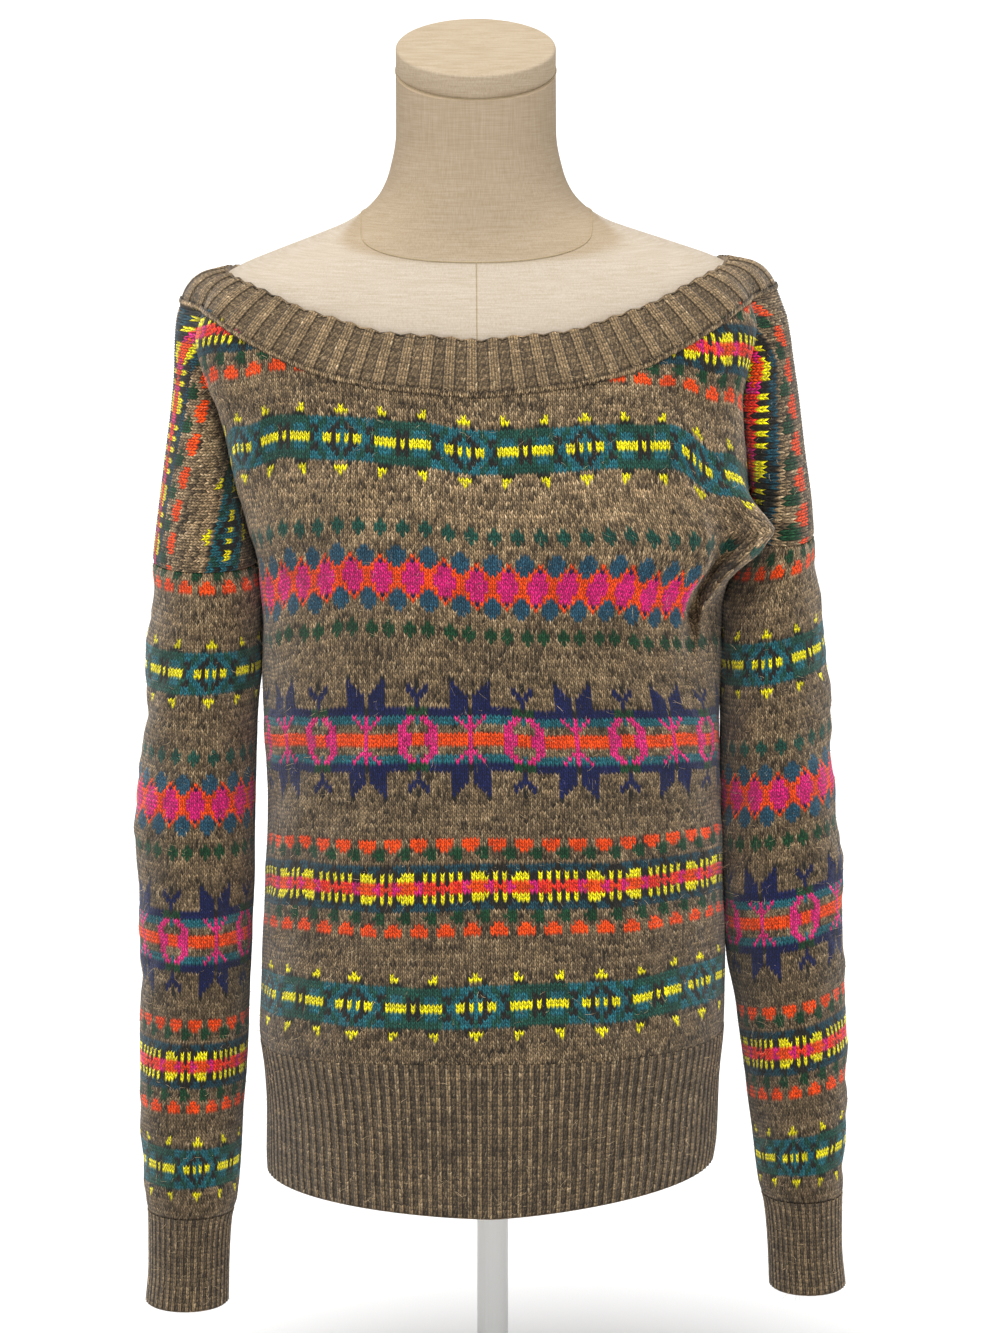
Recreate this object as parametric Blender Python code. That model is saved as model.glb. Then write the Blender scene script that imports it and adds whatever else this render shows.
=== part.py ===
"""Fair isle jumper worn on a limbless dress form that stands on a pole and a round base.

Metres, +Z up, the wearer's front faces -Y. The origin is on the floor under the middle of the whole.
The jumper is cut as a front and a back with grown-on shoulders, two sleeves sewn on at the upper arm,
a neckband, a hem rib and two cuffs. Every cloth piece is a wall whose outer face follows horizontal
sections worked out from the tables below.
"""
import bpy
import bmesh
import numpy as np
from math import cos, pi, radians, sin, tan
from mathutils import Matrix, Vector

# Cloth
WALL = 0.0024                 # knitted wall
SEAM_GAP = 0.0003             # between pieces sewn together
NECK_SEAM_GAP = 0.0012        # the neckband turns away from the panel at its seam
RIB_RAISE = 0.0007            # ribs stand this far out of, and their furrows this far into, the wall
SEAT = 0.0006                 # neckband to form
WIDEST_CORNER = 1.2           # how much further the inner face may lie behind a sharp crease
FORM_POWER = 2.3              # superellipse power of the form's sections

# Levels
HEM_LEVEL = 0.188
HEM_RISE = {"left": 0.0050, "right": 0.0136}       # the hem lifts towards its sides
HEM_RISE_POWER = 1.3
HEM_JOINT_LEVEL = 0.298
HEM_JOINT_DROP = {"left": 0.010, "right": 0.000}   # the rib's joint lies lower at the left side
TORSO_FOOT_LEVEL = 0.235
NECK_TOP_LEVEL = 0.971
COLUMN_LEVEL = 0.500          # where the panels' columns are shared out
ARMHOLE_LEVEL = {"left": 0.6295, "right": 0.6465}
CUFF_JOINT_LEVEL = {"left": 0.163, "right": 0.175}
CUFF_END_LEVEL = {"left": 0.0950, "right": 0.1070}

# Stand
BASE_RADIUS = 0.130
BASE_THICKNESS = 0.010
BASE_EDGE = 0.003
POLE_RADIUS = 0.0110
CAP_RADIUS = 0.0550
CAP_THICKNESS = 0.0172
CAP_EDGE = 0.0022
NECK_TILT = radians(16.6)     # the neck is cut forwards
TILT_START_LEVEL = 0.920

# Ribs: how many run round each band
HEM_RIBS = 128
NECK_RIBS_FRONT_QUARTER = 16
NECK_RIBS_BACK_QUARTER = 15
CUFF_RIBS = 38

# Grid of each panel
CHEST_CELLS = 14
CHEST_CROWDING = 1.2          # columns stand closer together towards the side
LOBE_CELLS = 7
YOKE_ROWS = 8
BODY_ROWS = 9
BODY_CROWDING = 1.25          # rows stand closer together towards the armhole
SLEEVE_ROWS = 11
SLEEVE_HALF_CELLS = 10
TORSO_QUARTER_CELLS = 8
TORSO_LEVELS = (0.235, 0.240, 0.247, 0.270, 0.300, 0.340, 0.390, 0.440, 0.490, 0.540, 0.585, 0.625, 0.660,
                0.700, 0.735, 0.765, 0.785, 0.800, 0.812, 0.822, 0.830, 0.838, 0.846, 0.854, 0.862, 0.872,
                0.882, 0.895, 0.915, 0.940, 0.971)
STAND_SIDES = {"cap": 40, "pole": 24, "base": 48}

# How finely a section is read before it is parted into equal lengths
FINE_STEPS = 80
FINER_STEPS = 240
STEP = 1e-3                   # for slopes taken between two near points
EDGE_ROUNDS = 12              # enough for the neckband's edge to settle

SHARP_ANGLE = radians(40)
SIDES = ("left", "right")     # as seen from the front: left is -X
SIGN = {"left": -1.0, "right": 1.0}
FACING = {"front": -1.0, "back": 1.0}
QUARTERS = (
    ("left", "front", False), ("left", "back", True), ("right", "back", False), ("right", "front", True))


class Table:
    """A short table with named columns, read smoothly between its rows by the first column."""

    def __init__(self, columns, rows):
        data = np.array(sorted(rows), float)
        self.at = data[:, 0]
        self.columns = dict(zip(columns.split(), data.T))

    def __call__(self, column, position):
        x, y = self.at, self.columns[column]
        step = np.diff(x)
        rise = np.diff(y) / step
        slope = np.zeros_like(y)
        same_way = rise[1:] * rise[:-1] > 0
        weight_a, weight_b = 2 * step[1:] + step[:-1], step[1:] + 2 * step[:-1]
        with np.errstate(divide="ignore", invalid="ignore"):
            mean = (weight_a + weight_b) / (weight_a / rise[:-1] + weight_b / rise[1:])
        slope[1:-1] = np.where(same_way, mean, 0.0)
        slope[0], slope[-1] = rise[0], rise[-1]
        position = np.clip(np.asarray(position, float), x[0], x[-1])
        cell = np.clip(np.searchsorted(x, position) - 1, 0, len(step) - 1)
        t = (position - x[cell]) / step[cell]
        return ((1 + 2 * t) * (1 - t) ** 2 * y[cell] + t * (1 - t) ** 2 * step[cell] * slope[cell]
                + t * t * (3 - 2 * t) * y[cell + 1] + t * t * (t - 1) * step[cell] * slope[cell + 1])


# The form and the jumper lean a little to the left towards the top.
LEAN = Table("level shift", [
    (0.00, 0.0000), (0.30, 0.0000), (0.46, -0.0030), (0.65, -0.0060), (0.81, -0.0105), (1.00, -0.0115)])

# The right shoulder stands higher than the left.
RAISE = Table("level rise", [
    (0.62, 0.0000), (0.70, 0.0030), (0.78, 0.0084), (0.85, 0.0084), (0.88, 0.0040), (0.91, 0.0000)])
RAISE_START = -0.02
RAISE_SPAN = 0.20

# The form: half width, and depth in front of and behind its axis.
FORM = Table("level half_width front back", [
    (0.235, 0.1260, 0.0860, 0.0900),
    (0.247, 0.1360, 0.0940, 0.0980),
    (0.300, 0.1430, 0.0980, 0.1040),
    (0.360, 0.1390, 0.0960, 0.1000),
    (0.460, 0.1200, 0.0900, 0.0820),
    (0.540, 0.1240, 0.1000, 0.0840),
    (0.600, 0.1360, 0.1140, 0.0900),
    (0.655, 0.1480, 0.1210, 0.0950),
    (0.700, 0.1620, 0.1170, 0.0980),
    (0.740, 0.1780, 0.1060, 0.0990),
    (0.780, 0.1880, 0.0940, 0.0945),
    (0.800, 0.1905, 0.0880, 0.0905),
    (0.815, 0.1880, 0.0820, 0.0855),
    (0.826, 0.1800, 0.0765, 0.0805),
    (0.836, 0.1640, 0.0710, 0.0765),
    (0.846, 0.1400, 0.0660, 0.0720),
    (0.856, 0.1140, 0.0625, 0.0680),
    (0.866, 0.0900, 0.0600, 0.0650),
    (0.878, 0.0735, 0.0585, 0.0625),
    (0.888, 0.0655, 0.0575, 0.0605),
    (0.902, 0.0598, 0.0560, 0.0580),
    (0.928, 0.0552, 0.0550, 0.0556),
    (0.971, 0.0550, 0.0550, 0.0550)])

# The jumper's body: depth in front of and behind the axis, and superellipse power of the section.
BODY = Table("level front back power", [
    (0.184, 0.1190, 0.1130, 2.00),
    (0.230, 0.1200, 0.1135, 2.10),
    (0.270, 0.1220, 0.1150, 2.20),
    (0.300, 0.1230, 0.1150, 2.30),
    (0.340, 0.1215, 0.1130, 2.30),
    (0.400, 0.1195, 0.1090, 2.30),
    (0.460, 0.1195, 0.1060, 2.30),
    (0.530, 0.1215, 0.1040, 2.30),
    (0.580, 0.1245, 0.1030, 2.30),
    (0.620, 0.1270, 0.1035, 2.30),
    (0.655, 0.1275, 0.1045, 2.30),
    (0.700, 0.1235, 0.1060, 2.30),
    (0.740, 0.1135, 0.1055, 2.30),
    (0.780, 0.1008, 0.1010, 2.30),
    (0.800, 0.0948, 0.0970, 2.30),
    (0.813, 0.0908, 0.0930, 2.30),
    (0.830, 0.0860, 0.0870, 2.30)])

# The jumper's side. Below the armhole this is the side seam. Above it, it is the valley where the cloth
# folds in between the chest and the hanging shoulder, valley_depth in front of or behind the side.
BODY_SIDE = {
    "left": Table("level side valley_depth", [
        (0.184, 0.1590, 0.0), (0.205, 0.1600, 0.0), (0.240, 0.1595, 0.0), (0.268, 0.1610, 0.0),
        (0.300, 0.1645, 0.0), (0.343, 0.1630, 0.0), (0.387, 0.1600, 0.0), (0.423, 0.1585, 0.0),
        (0.460, 0.1580, 0.0), (0.531, 0.1600, 0.0), (0.600, 0.1605, 0.0), (0.6295, 0.1625, 0.0),
        (0.660, 0.1707, 0.0090), (0.700, 0.1803, 0.0210), (0.740, 0.1890, 0.0280),
        (0.760, 0.1971, 0.0300), (0.790, 0.2035, 0.0320), (0.800, 0.2010, 0.0340),
        (0.813, 0.1965, 0.0340)]),
    "right": Table("level side valley_depth", [
        (0.184, 0.1540, 0.0), (0.200, 0.1560, 0.0), (0.217, 0.1585, 0.0), (0.262, 0.1600, 0.0),
        (0.300, 0.1632, 0.0), (0.340, 0.1640, 0.0), (0.387, 0.1625, 0.0), (0.460, 0.1600, 0.0),
        (0.530, 0.1590, 0.0), (0.600, 0.1600, 0.0), (0.620, 0.1655, 0.0), (0.6465, 0.1790, 0.0),
        (0.670, 0.1783, 0.0100), (0.700, 0.1750, 0.0240), (0.740, 0.1723, 0.0320),
        (0.760, 0.1757, 0.0320), (0.790, 0.1812, 0.0320), (0.800, 0.1790, 0.0340),
        (0.813, 0.1758, 0.0340)])}

# The hanging shoulder, the sleeve and the cuff: outer and inner side, and how far the cloth bulges
# in front of and behind them.
ARM = {
    "left": Table("level outer inner bulge", [
        (0.092, 0.2477, 0.1892, 0.0325), (0.125, 0.2450, 0.1883, 0.0305), (0.158, 0.2449, 0.1859, 0.0330),
        (0.170, 0.2461, 0.1823, 0.0370), (0.190, 0.2471, 0.1798, 0.0400), (0.242, 0.2490, 0.1766, 0.0430),
        (0.315, 0.2495, 0.1719, 0.0470), (0.390, 0.2497, 0.1688, 0.0500), (0.460, 0.2486, 0.1667, 0.0520),
        (0.530, 0.2433, 0.1642, 0.0540), (0.570, 0.2401, 0.1618, 0.0543), (0.600, 0.2377, 0.1613, 0.0545),
        (0.6295, 0.2367, 0.1625, 0.0530),
        (0.660, 0.2333, 0.1707, 0.0480), (0.700, 0.2280, 0.1803, 0.0380), (0.740, 0.2228, 0.1890, 0.0260),
        (0.760, 0.2209, 0.1971, 0.0190), (0.790, 0.2198, 0.2035, 0.0130), (0.800, 0.2187, 0.2010, 0.0120),
        (0.813, 0.2149, 0.1965, 0.0110)]),
    "right": Table("level outer inner bulge", [
        (0.104, 0.2518, 0.1982, 0.0320), (0.140, 0.2485, 0.1964, 0.0305), (0.170, 0.2484, 0.1932, 0.0330),
        (0.182, 0.2493, 0.1896, 0.0370), (0.200, 0.2499, 0.1869, 0.0400), (0.242, 0.2502, 0.1814, 0.0430),
        (0.315, 0.2494, 0.1720, 0.0470), (0.350, 0.2480, 0.1662, 0.0485), (0.390, 0.2465, 0.1636, 0.0500),
        (0.460, 0.2415, 0.1610, 0.0525),
        (0.530, 0.2353, 0.1600, 0.0540), (0.600, 0.2290, 0.1622, 0.0540), (0.620, 0.2268, 0.1678, 0.0530),
        (0.6465, 0.2241, 0.1790, 0.0510), (0.670, 0.2221, 0.1783, 0.0480), (0.700, 0.2176, 0.1750, 0.0420),
        (0.740, 0.2122, 0.1723, 0.0300), (0.760, 0.2089, 0.1757, 0.0220), (0.790, 0.2040, 0.1812, 0.0150),
        (0.800, 0.2006, 0.1790, 0.0130), (0.813, 0.1957, 0.1758, 0.0120)])}

# Heights of the neckband's two edges, by distance from the middle of the form.
NECK_EDGE = {
    "front": Table("from_middle upper lower", [
        (0.000, 0.7950, 0.7600), (0.060, 0.7995, 0.7650), (0.105, 0.8100, 0.7730), (0.140, 0.8215, 0.7860),
        (0.165, 0.8295, 0.7980), (0.185, 0.8330, 0.8085), (0.210, 0.8350, 0.8125)]),
    "back": Table("from_middle upper lower", [
        (0.000, 0.8140, 0.7800), (0.060, 0.8160, 0.7830), (0.105, 0.8210, 0.7890), (0.140, 0.8260, 0.7960),
        (0.165, 0.8300, 0.8020), (0.185, 0.8330, 0.8085), (0.210, 0.8350, 0.8125)])}
NECK_BULGE_MIDDLE = 0.0010    # how far the band's middle stands out, at the middle of the form
NECK_BULGE_SIDE = 0.0075      # and over the shoulder

# A web of the front at the right underarm, drawn out to a point beside the sleeve, and the crease that
# parts it from the chest. Places run along the chest section, 0 in the middle and 1 at the side.
FOLD_LEVEL = 0.659
FOLD_ABOVE = 0.050
FOLD_BELOW = 0.060
FOLD_PLACE = 0.74
FOLD_HALF_WIDTH = 0.15
FOLD_OUT = Vector((0.026, -0.004))
CREASE_LEVEL = 0.625
CREASE_HALF_HEIGHT = 0.050
CREASE_PLACE = 0.65
CREASE_HALF_WIDTH = 0.11
CREASE_IN = 0.020


def hump(offset, half_width):
    """1 in the middle, falling smoothly to 0 at half_width."""
    ratio = min(abs(offset) / half_width, 1.0)
    return (1 - ratio * ratio) ** 2


def peak(offset, half_width):
    """1 in the middle, falling in a point to 0 at half_width."""
    return max(1 - abs(offset) / half_width, 0.0) ** 1.5


def quadrant(place, power):
    """A unit superellipse from (0, 1) in the middle to (1, 0) at the side."""
    angle = place * pi / 2
    return max(sin(angle), 0.0) ** (2 / power), max(cos(angle), 0.0) ** (2 / power)


def raised(x, y, level):
    """A point of a level section, with the right shoulder lifted."""
    share = max((x - RAISE_START) / RAISE_SPAN, 0.0) ** 2
    return Vector((x, y, level + float(RAISE("rise", level)) * share))


def form_point(side, face, level, place):
    across, along = quadrant(place, FORM_POWER)
    x = float(LEAN("shift", level)) + SIGN[side] * float(FORM("half_width", level)) * across
    y = FACING[face] * float(FORM(face, level)) * along
    return raised(x, y, level)


def form_normal(side, face, level, place):
    inside = min(max(place, 2 * STEP), 1 - 2 * STEP)
    low, high = (form_point(side, face, level + d, inside) for d in (-STEP, STEP))
    near, far = (form_point(side, face, level, inside + d) for d in (-STEP, STEP))
    normal = (high - low).cross(far - near).normalized()
    outward = Vector((near.x - float(LEAN("shift", level)), near.y, 0.0))
    return normal if normal.dot(outward) > 0 else -normal


def chest_point(side, face, level, place):
    """The jumper's body at a level: place 0 is the middle, 1 the side seam or the valley."""
    across, along = quadrant(place, float(BODY("power", level)))
    middle = float(LEAN("shift", level))
    edge = SIGN[side] * float(BODY_SIDE[side]("side", level))
    valley = float(BODY_SIDE[side]("valley_depth", level))
    depth = float(BODY(face, level))
    x = middle + (edge - middle) * across
    y = FACING[face] * (valley + (depth - valley) * along)
    if side == "right" and face == "front":
        half_height = FOLD_ABOVE if level > FOLD_LEVEL else FOLD_BELOW
        push = peak(level - FOLD_LEVEL, half_height) * hump(place - FOLD_PLACE, FOLD_HALF_WIDTH)
        crease = hump(level - CREASE_LEVEL, CREASE_HALF_HEIGHT) * hump(place - CREASE_PLACE, CREASE_HALF_WIDTH)
        x += FOLD_OUT.x * push
        y += FOLD_OUT.y * push + CREASE_IN * crease
    return raised(x, y, level)


def arm_point(side, face, level, place):
    """The hanging shoulder or sleeve at a level: place 0 is its outer side, 1 its inner side."""
    outer, inner = float(ARM[side]("outer", level)), float(ARM[side]("inner", level))
    valley = float(BODY_SIDE[side]("valley_depth", level)) if level > ARMHOLE_LEVEL[side] else 0.0
    x = SIGN[side] * (outer + (inner - outer) * (1 - cos(pi * place)) / 2)
    y = FACING[face] * (valley * place ** 2 + float(ARM[side]("bulge", level)) * sin(pi * place))
    return raised(x, y, level)


def neck_level(point_at, side, face, place, edge):
    """The level at which a surface, at a place round it, meets an edge of the neckband."""
    level = NECK_EDGE[face].columns[edge][0]
    for _ in range(EDGE_ROUNDS):
        from_middle = abs(point_at(side, face, level, place).x - float(LEAN("shift", level)))
        level = float(NECK_EDGE[face](edge, from_middle))
    return level


def on_neck_edge(point_at, side, face, place, edge):
    return point_at(side, face, neck_level(point_at, side, face, place, edge), place)


def column_places(point_at, side, face, level, cells, crowding):
    """Places that part a section into cells, closer together towards the side."""
    dense = np.linspace(0, 1, FINER_STEPS + 1)
    points = np.array([point_at(side, face, level, t) for t in dense])
    run = np.concatenate([[0], np.cumsum(np.linalg.norm(np.diff(points, axis=0), axis=1))])
    share = 1 - (1 - np.linspace(0, 1, cells + 1)) ** crowding
    return np.interp(share * run[-1], run, dense)


def resampled(points, count):
    """count + 1 points at equal distances along a line of points."""
    points = np.array(points)
    run = np.concatenate([[0], np.cumsum(np.linalg.norm(np.diff(points, axis=0), axis=1))])
    at = np.linspace(0, run[-1], count + 1)
    return [Vector([np.interp(d, run, points[:, axis]) for axis in range(3)]) for d in at]


def material(name, color, roughness, metallic=0.0):
    made = bpy.data.materials.new(name)
    made.use_nodes = True
    shader = made.node_tree.nodes["Principled BSDF"]
    shader.inputs["Base Color"].default_value = (*color, 1.0)
    shader.inputs["Roughness"].default_value = roughness
    shader.inputs["Metallic"].default_value = metallic
    return made


def finish_object(name, mesh_maker, made_material):
    """Turn a bmesh into a named object with its faces pointing out."""
    bmesh.ops.recalc_face_normals(mesh_maker, faces=mesh_maker.faces)
    if mesh_maker.calc_volume(signed=True) < 0:
        bmesh.ops.reverse_faces(mesh_maker, faces=mesh_maker.faces)
    mesh = bpy.data.meshes.new(name)
    mesh_maker.to_mesh(mesh)
    mesh_maker.free()
    mesh.shade_smooth()
    mesh.set_sharp_from_angle(angle=SHARP_ANGLE)
    made = bpy.data.objects.new(name, mesh)
    made.data.materials.append(made_material)
    bpy.context.scene.collection.objects.link(made)
    return made


def vertex_normals(points, cells, outward_of):
    """Normals of a mesh of four-sided cells, turned outwards by outward_of(point). They are a little
    longer than 1 at a crease, so that a wall of even thickness lies behind it."""
    cell_normals = [(points[c] - points[a]).cross(points[d] - points[b]).normalized() for a, b, c, d in cells]
    around = [[] for _ in points]
    for cell, normal in zip(cells, cell_normals):
        for index in cell:
            around[index].append(normal)
    means = [sum(ns, Vector()).normalized() for ns in around]
    lengths = [min(1 / max(min(n.dot(mean) for n in ns), 0.1), WIDEST_CORNER) for ns, mean in zip(around, means)]
    total = sum(n.dot(outward_of(p)) for n, p in zip(means, points))
    turn = 1.0 if total > 0 else -1.0
    return [mean * (turn * length) for mean, length in zip(means, lengths)]


def sheet_wall(name, points, cells, normals, made_material):
    """A wall on a sheet of cells: the outer face is at the points, the inner face WALL behind them."""
    maker = bmesh.new()
    outer = [maker.verts.new(p) for p in points]
    inner = [maker.verts.new(p - n * WALL) for p, n in zip(points, normals)]
    edges = {}
    for cell in cells:
        maker.faces.new([outer[i] for i in cell])
        maker.faces.new([inner[i] for i in reversed(cell)])
        for a, b in zip(cell, cell[1:] + cell[:1]):
            edges[(a, b)] = True
    for a, b in list(edges):
        if (b, a) not in edges:
            maker.faces.new([outer[b], outer[a], inner[a], inner[b]])
    return finish_object(name, maker, made_material)


def ring_normals(rows):
    """Normals of a stack of closed rings, level at the two ends."""
    count = len(rows[0])
    points = [p for row in rows for p in row]
    cells = [[r * count + c, r * count + (c + 1) % count, (r + 1) * count + (c + 1) % count,
              (r + 1) * count + c] for r in range(len(rows) - 1) for c in range(count)]
    middle = sum(points, Vector()) / len(points)
    flat = vertex_normals(points, cells, lambda p: Vector((p.x - middle.x, p.y - middle.y, 0)))
    return [flat[r * count:(r + 1) * count] for r in range(len(rows))]


def level_normals(normals):
    """The same normals with their upright part taken out, so that a sewn end stays level."""
    return [Vector((n.x, n.y, 0)).normalized() for n in normals]


def tube_wall(name, outer_rows, inner_rows, made_material):
    """A wall between two stacks of closed rings. The outer rings may have several points for each
    inner one; the two rims are fans."""
    maker = bmesh.new()
    outer = [[maker.verts.new(p) for p in row] for row in outer_rows]
    inner = [[maker.verts.new(p) for p in row] for row in inner_rows]
    for stack in (outer, inner):
        for low, high in zip(stack, stack[1:]):
            for c in range(len(low)):
                after = (c + 1) % len(low)
                maker.faces.new([low[c], low[after], high[after], high[c]])
    many, few = len(outer[0]), len(inner[0])
    share = many // few
    for row in (0, -1):
        for c in range(few):
            here, after = inner[row][c], inner[row][(c + 1) % few]
            for k in range(share):
                first = outer[row][c * share + k]
                second = outer[row][(c * share + k + 1) % many]
                if k == share // 2:
                    maker.faces.new([here, after, first])
                    maker.faces.new([first, after, second])
                else:
                    maker.faces.new([here if k < share // 2 else after, first, second])
    return finish_object(name, maker, made_material)


def ribbed_tube(name, rows, points_per_rib, rib_points, inner_share, made_material, level_ends=True):
    """A ribbed wall on closed rings: ribs are raised in the outer points over a plain inside."""
    normals = ring_normals(rows)
    if level_ends:
        normals[0], normals[-1] = level_normals(normals[0]), level_normals(normals[-1])
    outer, inner = [], []
    for row, row_normals in zip(rows, normals):
        outer.append([p + n * (RIB_RAISE if c % points_per_rib in rib_points else -RIB_RAISE)
                      for c, (p, n) in enumerate(zip(row, row_normals))])
        inner.append([p - n * WALL for p, n in zip(row, row_normals)][::inner_share])
    return tube_wall(name, outer, inner, made_material)


def across_body(place):
    """Share of the half width at a place round the body."""
    return quadrant(place, FORM_POWER)[0]


def hem_joint_level(side, place):
    return HEM_JOINT_LEVEL - HEM_JOINT_DROP[side] * across_body(place) ** 2


def hem_level(side, place):
    return HEM_LEVEL + HEM_RISE[side] * across_body(place) ** HEM_RISE_POWER


def build_panel(face, made_material):
    """The front or the back: a T-shaped piece, from the hem rib's joint up to the neckband, with
    grown-on shoulders that hang down over the arms to the armhole seams."""
    points, index, seam_side, seam_level, pinned = [], {}, set(), set(), {}
    places = {side: column_places(chest_point, side, face, COLUMN_LEVEL, CHEST_CELLS, CHEST_CROWDING)
              for side in SIDES}
    arm_places = np.linspace(1, 0, LOBE_CELLS + 1)
    inset = SEAM_GAP / 2

    def add(key, point):
        index[key] = len(points)
        points.append(point)

    def armhole(side, across):
        middle = sum(ARMHOLE_LEVEL.values()) / 2
        return middle + (ARMHOLE_LEVEL[side] - middle) * across ** 2

    for side in SIDES:
        for column, place in enumerate(places[side]):
            if column == 0 and side == "right":
                continue
            top = neck_level(chest_point, side, face, place, "lower") - NECK_SEAM_GAP
            turn = armhole(side, column / CHEST_CELLS)
            levels = [top + (turn - top) * k / YOKE_ROWS for k in range(YOKE_ROWS + 1)]
            foot = hem_joint_level(side, place) + inset
            levels += [turn + (foot - turn) * (k / BODY_ROWS) ** BODY_CROWDING for k in range(1, BODY_ROWS + 1)]
            for row, level in enumerate(levels):
                point = chest_point(side, face, level, place)
                if column == CHEST_CELLS and row >= YOKE_ROWS:
                    point.y = FACING[face] * inset
                    seam_side.add((side, column, row))
                if row == len(levels) - 1:
                    seam_level.add((side, column, row))
                add((side, column, row), point)
        pinned[(side, CHEST_CELLS, YOKE_ROWS)] = Vector((0, 0, -1))
        for step, place in enumerate(arm_places[1:], 1):
            column = CHEST_CELLS + step
            top = neck_level(arm_point, side, face, place, "lower") - NECK_SEAM_GAP
            foot = ARMHOLE_LEVEL[side] + inset
            for row in range(YOKE_ROWS + 1):
                point = arm_point(side, face, top + (foot - top) * row / YOKE_ROWS, place)
                if step == LOBE_CELLS:
                    point.y = FACING[face] * inset
                    seam_side.add((side, column, row))
                if row == YOKE_ROWS:
                    seam_level.add((side, column, row))
                add((side, column, row), point)
    for row in range(YOKE_ROWS + BODY_ROWS + 1):
        index[("right", 0, row)] = index[("left", 0, row)]

    cells = []
    for side in SIDES:
        for column in range(CHEST_CELLS + LOBE_CELLS):
            rows = YOKE_ROWS + BODY_ROWS if column < CHEST_CELLS else YOKE_ROWS
            for row in range(rows):
                cell = [index[(side, column, row)], index[(side, column + 1, row)],
                        index[(side, column + 1, row + 1)], index[(side, column, row + 1)]]
                cells.append(cell if side == "left" else cell[::-1])
    normals = vertex_normals(points, cells, lambda p: Vector((0, FACING[face], 0)))
    for key in seam_side:
        n = normals[index[key]]
        normals[index[key]] = Vector((n.x, 0, n.z)).normalized()
    for key in seam_level:
        n = normals[index[key]]
        normals[index[key]] = Vector((n.x, n.y, 0)).normalized()
    for key, normal in pinned.items():
        normals[index[key]] = normal
    return sheet_wall(face, points, cells, normals, made_material)


def arm_ring(side, level, half_count):
    """A closed ring of the sleeve: outer side, front, inner side, back."""
    front = [arm_point(side, "front", level, k / half_count) for k in range(half_count)]
    back = [arm_point(side, "back", level, 1 - k / half_count) for k in range(half_count)]
    return front + back


def build_sleeve(side, made_material):
    top, foot = ARMHOLE_LEVEL[side] - SEAM_GAP / 2, CUFF_JOINT_LEVEL[side] + SEAM_GAP / 2
    rows = [arm_ring(side, level, SLEEVE_HALF_CELLS) for level in np.linspace(top, foot, SLEEVE_ROWS + 1)]
    normals = ring_normals(rows)
    normals[0], normals[-1] = level_normals(normals[0]), level_normals(normals[-1])
    inner = [[p - n * WALL for p, n in zip(row, ns)] for row, ns in zip(rows, normals)]
    return tube_wall("sleeve_" + side, rows, inner, made_material)


def even_ring(points, count):
    """A closed ring of count points at equal distances."""
    return resampled(list(points) + [points[0]], count)[:-1]


def build_cuff(side, made_material):
    top, foot = CUFF_JOINT_LEVEL[side] - SEAM_GAP / 2, CUFF_END_LEVEL[side]
    rows = [even_ring(arm_ring(side, level, FINE_STEPS), 2 * CUFF_RIBS)
            for level in np.linspace(top, foot, 3)]
    return ribbed_tube("cuff_" + side, rows, 2, (0,), 2, made_material)


def body_ring(level_at, quarter_count):
    """A closed ring of the body from the front middle round the left side, back and right side.
    level_at(side, place) is its level."""
    ring = []
    for side, face, backwards in QUARTERS:
        places = np.linspace(0, 1, FINE_STEPS + 1)
        quarter = resampled([chest_point(side, face, level_at(side, t), t) for t in places], quarter_count)
        quarter = quarter[::-1] if backwards else quarter
        ring += quarter[:-1]
    return ring


def build_hem_rib(made_material):
    def level_at(share_down):
        def level(side, place):
            top = hem_joint_level(side, place) - SEAM_GAP / 2
            return top + (hem_level(side, place) - top) * share_down
        return level
    rows = [body_ring(level_at(share), HEM_RIBS * 2 // 4) for share in (0, 0.5, 1)]
    return ribbed_tube("hem_rib", rows, 2, (0,), 4, made_material)


def neckband_quarter(side, face, ribs):
    """Lines of a quarter of the neckband, from the middle to the shoulder: its upper edge, which lies
    on the form, two lines between, and its lower edge, which meets the panel."""
    columns = ribs * 4
    upper = []
    places = np.linspace(0, 1, FINE_STEPS + 1)
    for place in places:
        level = neck_level(form_point, side, face, place, "upper")
        normal = form_normal(side, face, level, place)
        upper.append(form_point(side, face, level, place) + normal * (SEAT + WALL))
    upper = resampled(upper, columns)
    lower = [on_neck_edge(chest_point, side, face, place, "lower") for place in places]
    lower += [on_neck_edge(arm_point, side, face, place, "lower") for place in places[-2::-1]]
    lower = resampled(lower, columns)
    lines = [[], [], [], []]
    for column, (high, low) in enumerate(zip(upper, lower)):
        bulge = NECK_BULGE_MIDDLE + (NECK_BULGE_SIDE - NECK_BULGE_MIDDLE) * (column / columns) ** 4
        ahead = upper[min(column + 1, columns)] - upper[max(column - 1, 0)]
        normal = (low - high).cross(ahead).normalized()
        outward = Vector((high.x, high.y, 0.2))
        normal = normal if normal.dot(outward) > 0 else -normal
        for line, share in zip(lines, (0, 1 / 3, 2 / 3, 1)):
            line.append(high.lerp(low, share) + normal * bulge * 4 * share * (1 - share))
    return lines


def build_neckband(made_material):
    rows = [[], [], [], []]
    for side, face, backwards in QUARTERS:
        ribs = NECK_RIBS_FRONT_QUARTER if face == "front" else NECK_RIBS_BACK_QUARTER
        for row, line in zip(rows, neckband_quarter(side, face, ribs)):
            line = line[::-1] if backwards else line
            row += line[:-1]
    return ribbed_tube("neckband", rows, 4, (0, 1), 4, made_material, level_ends=False)


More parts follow.
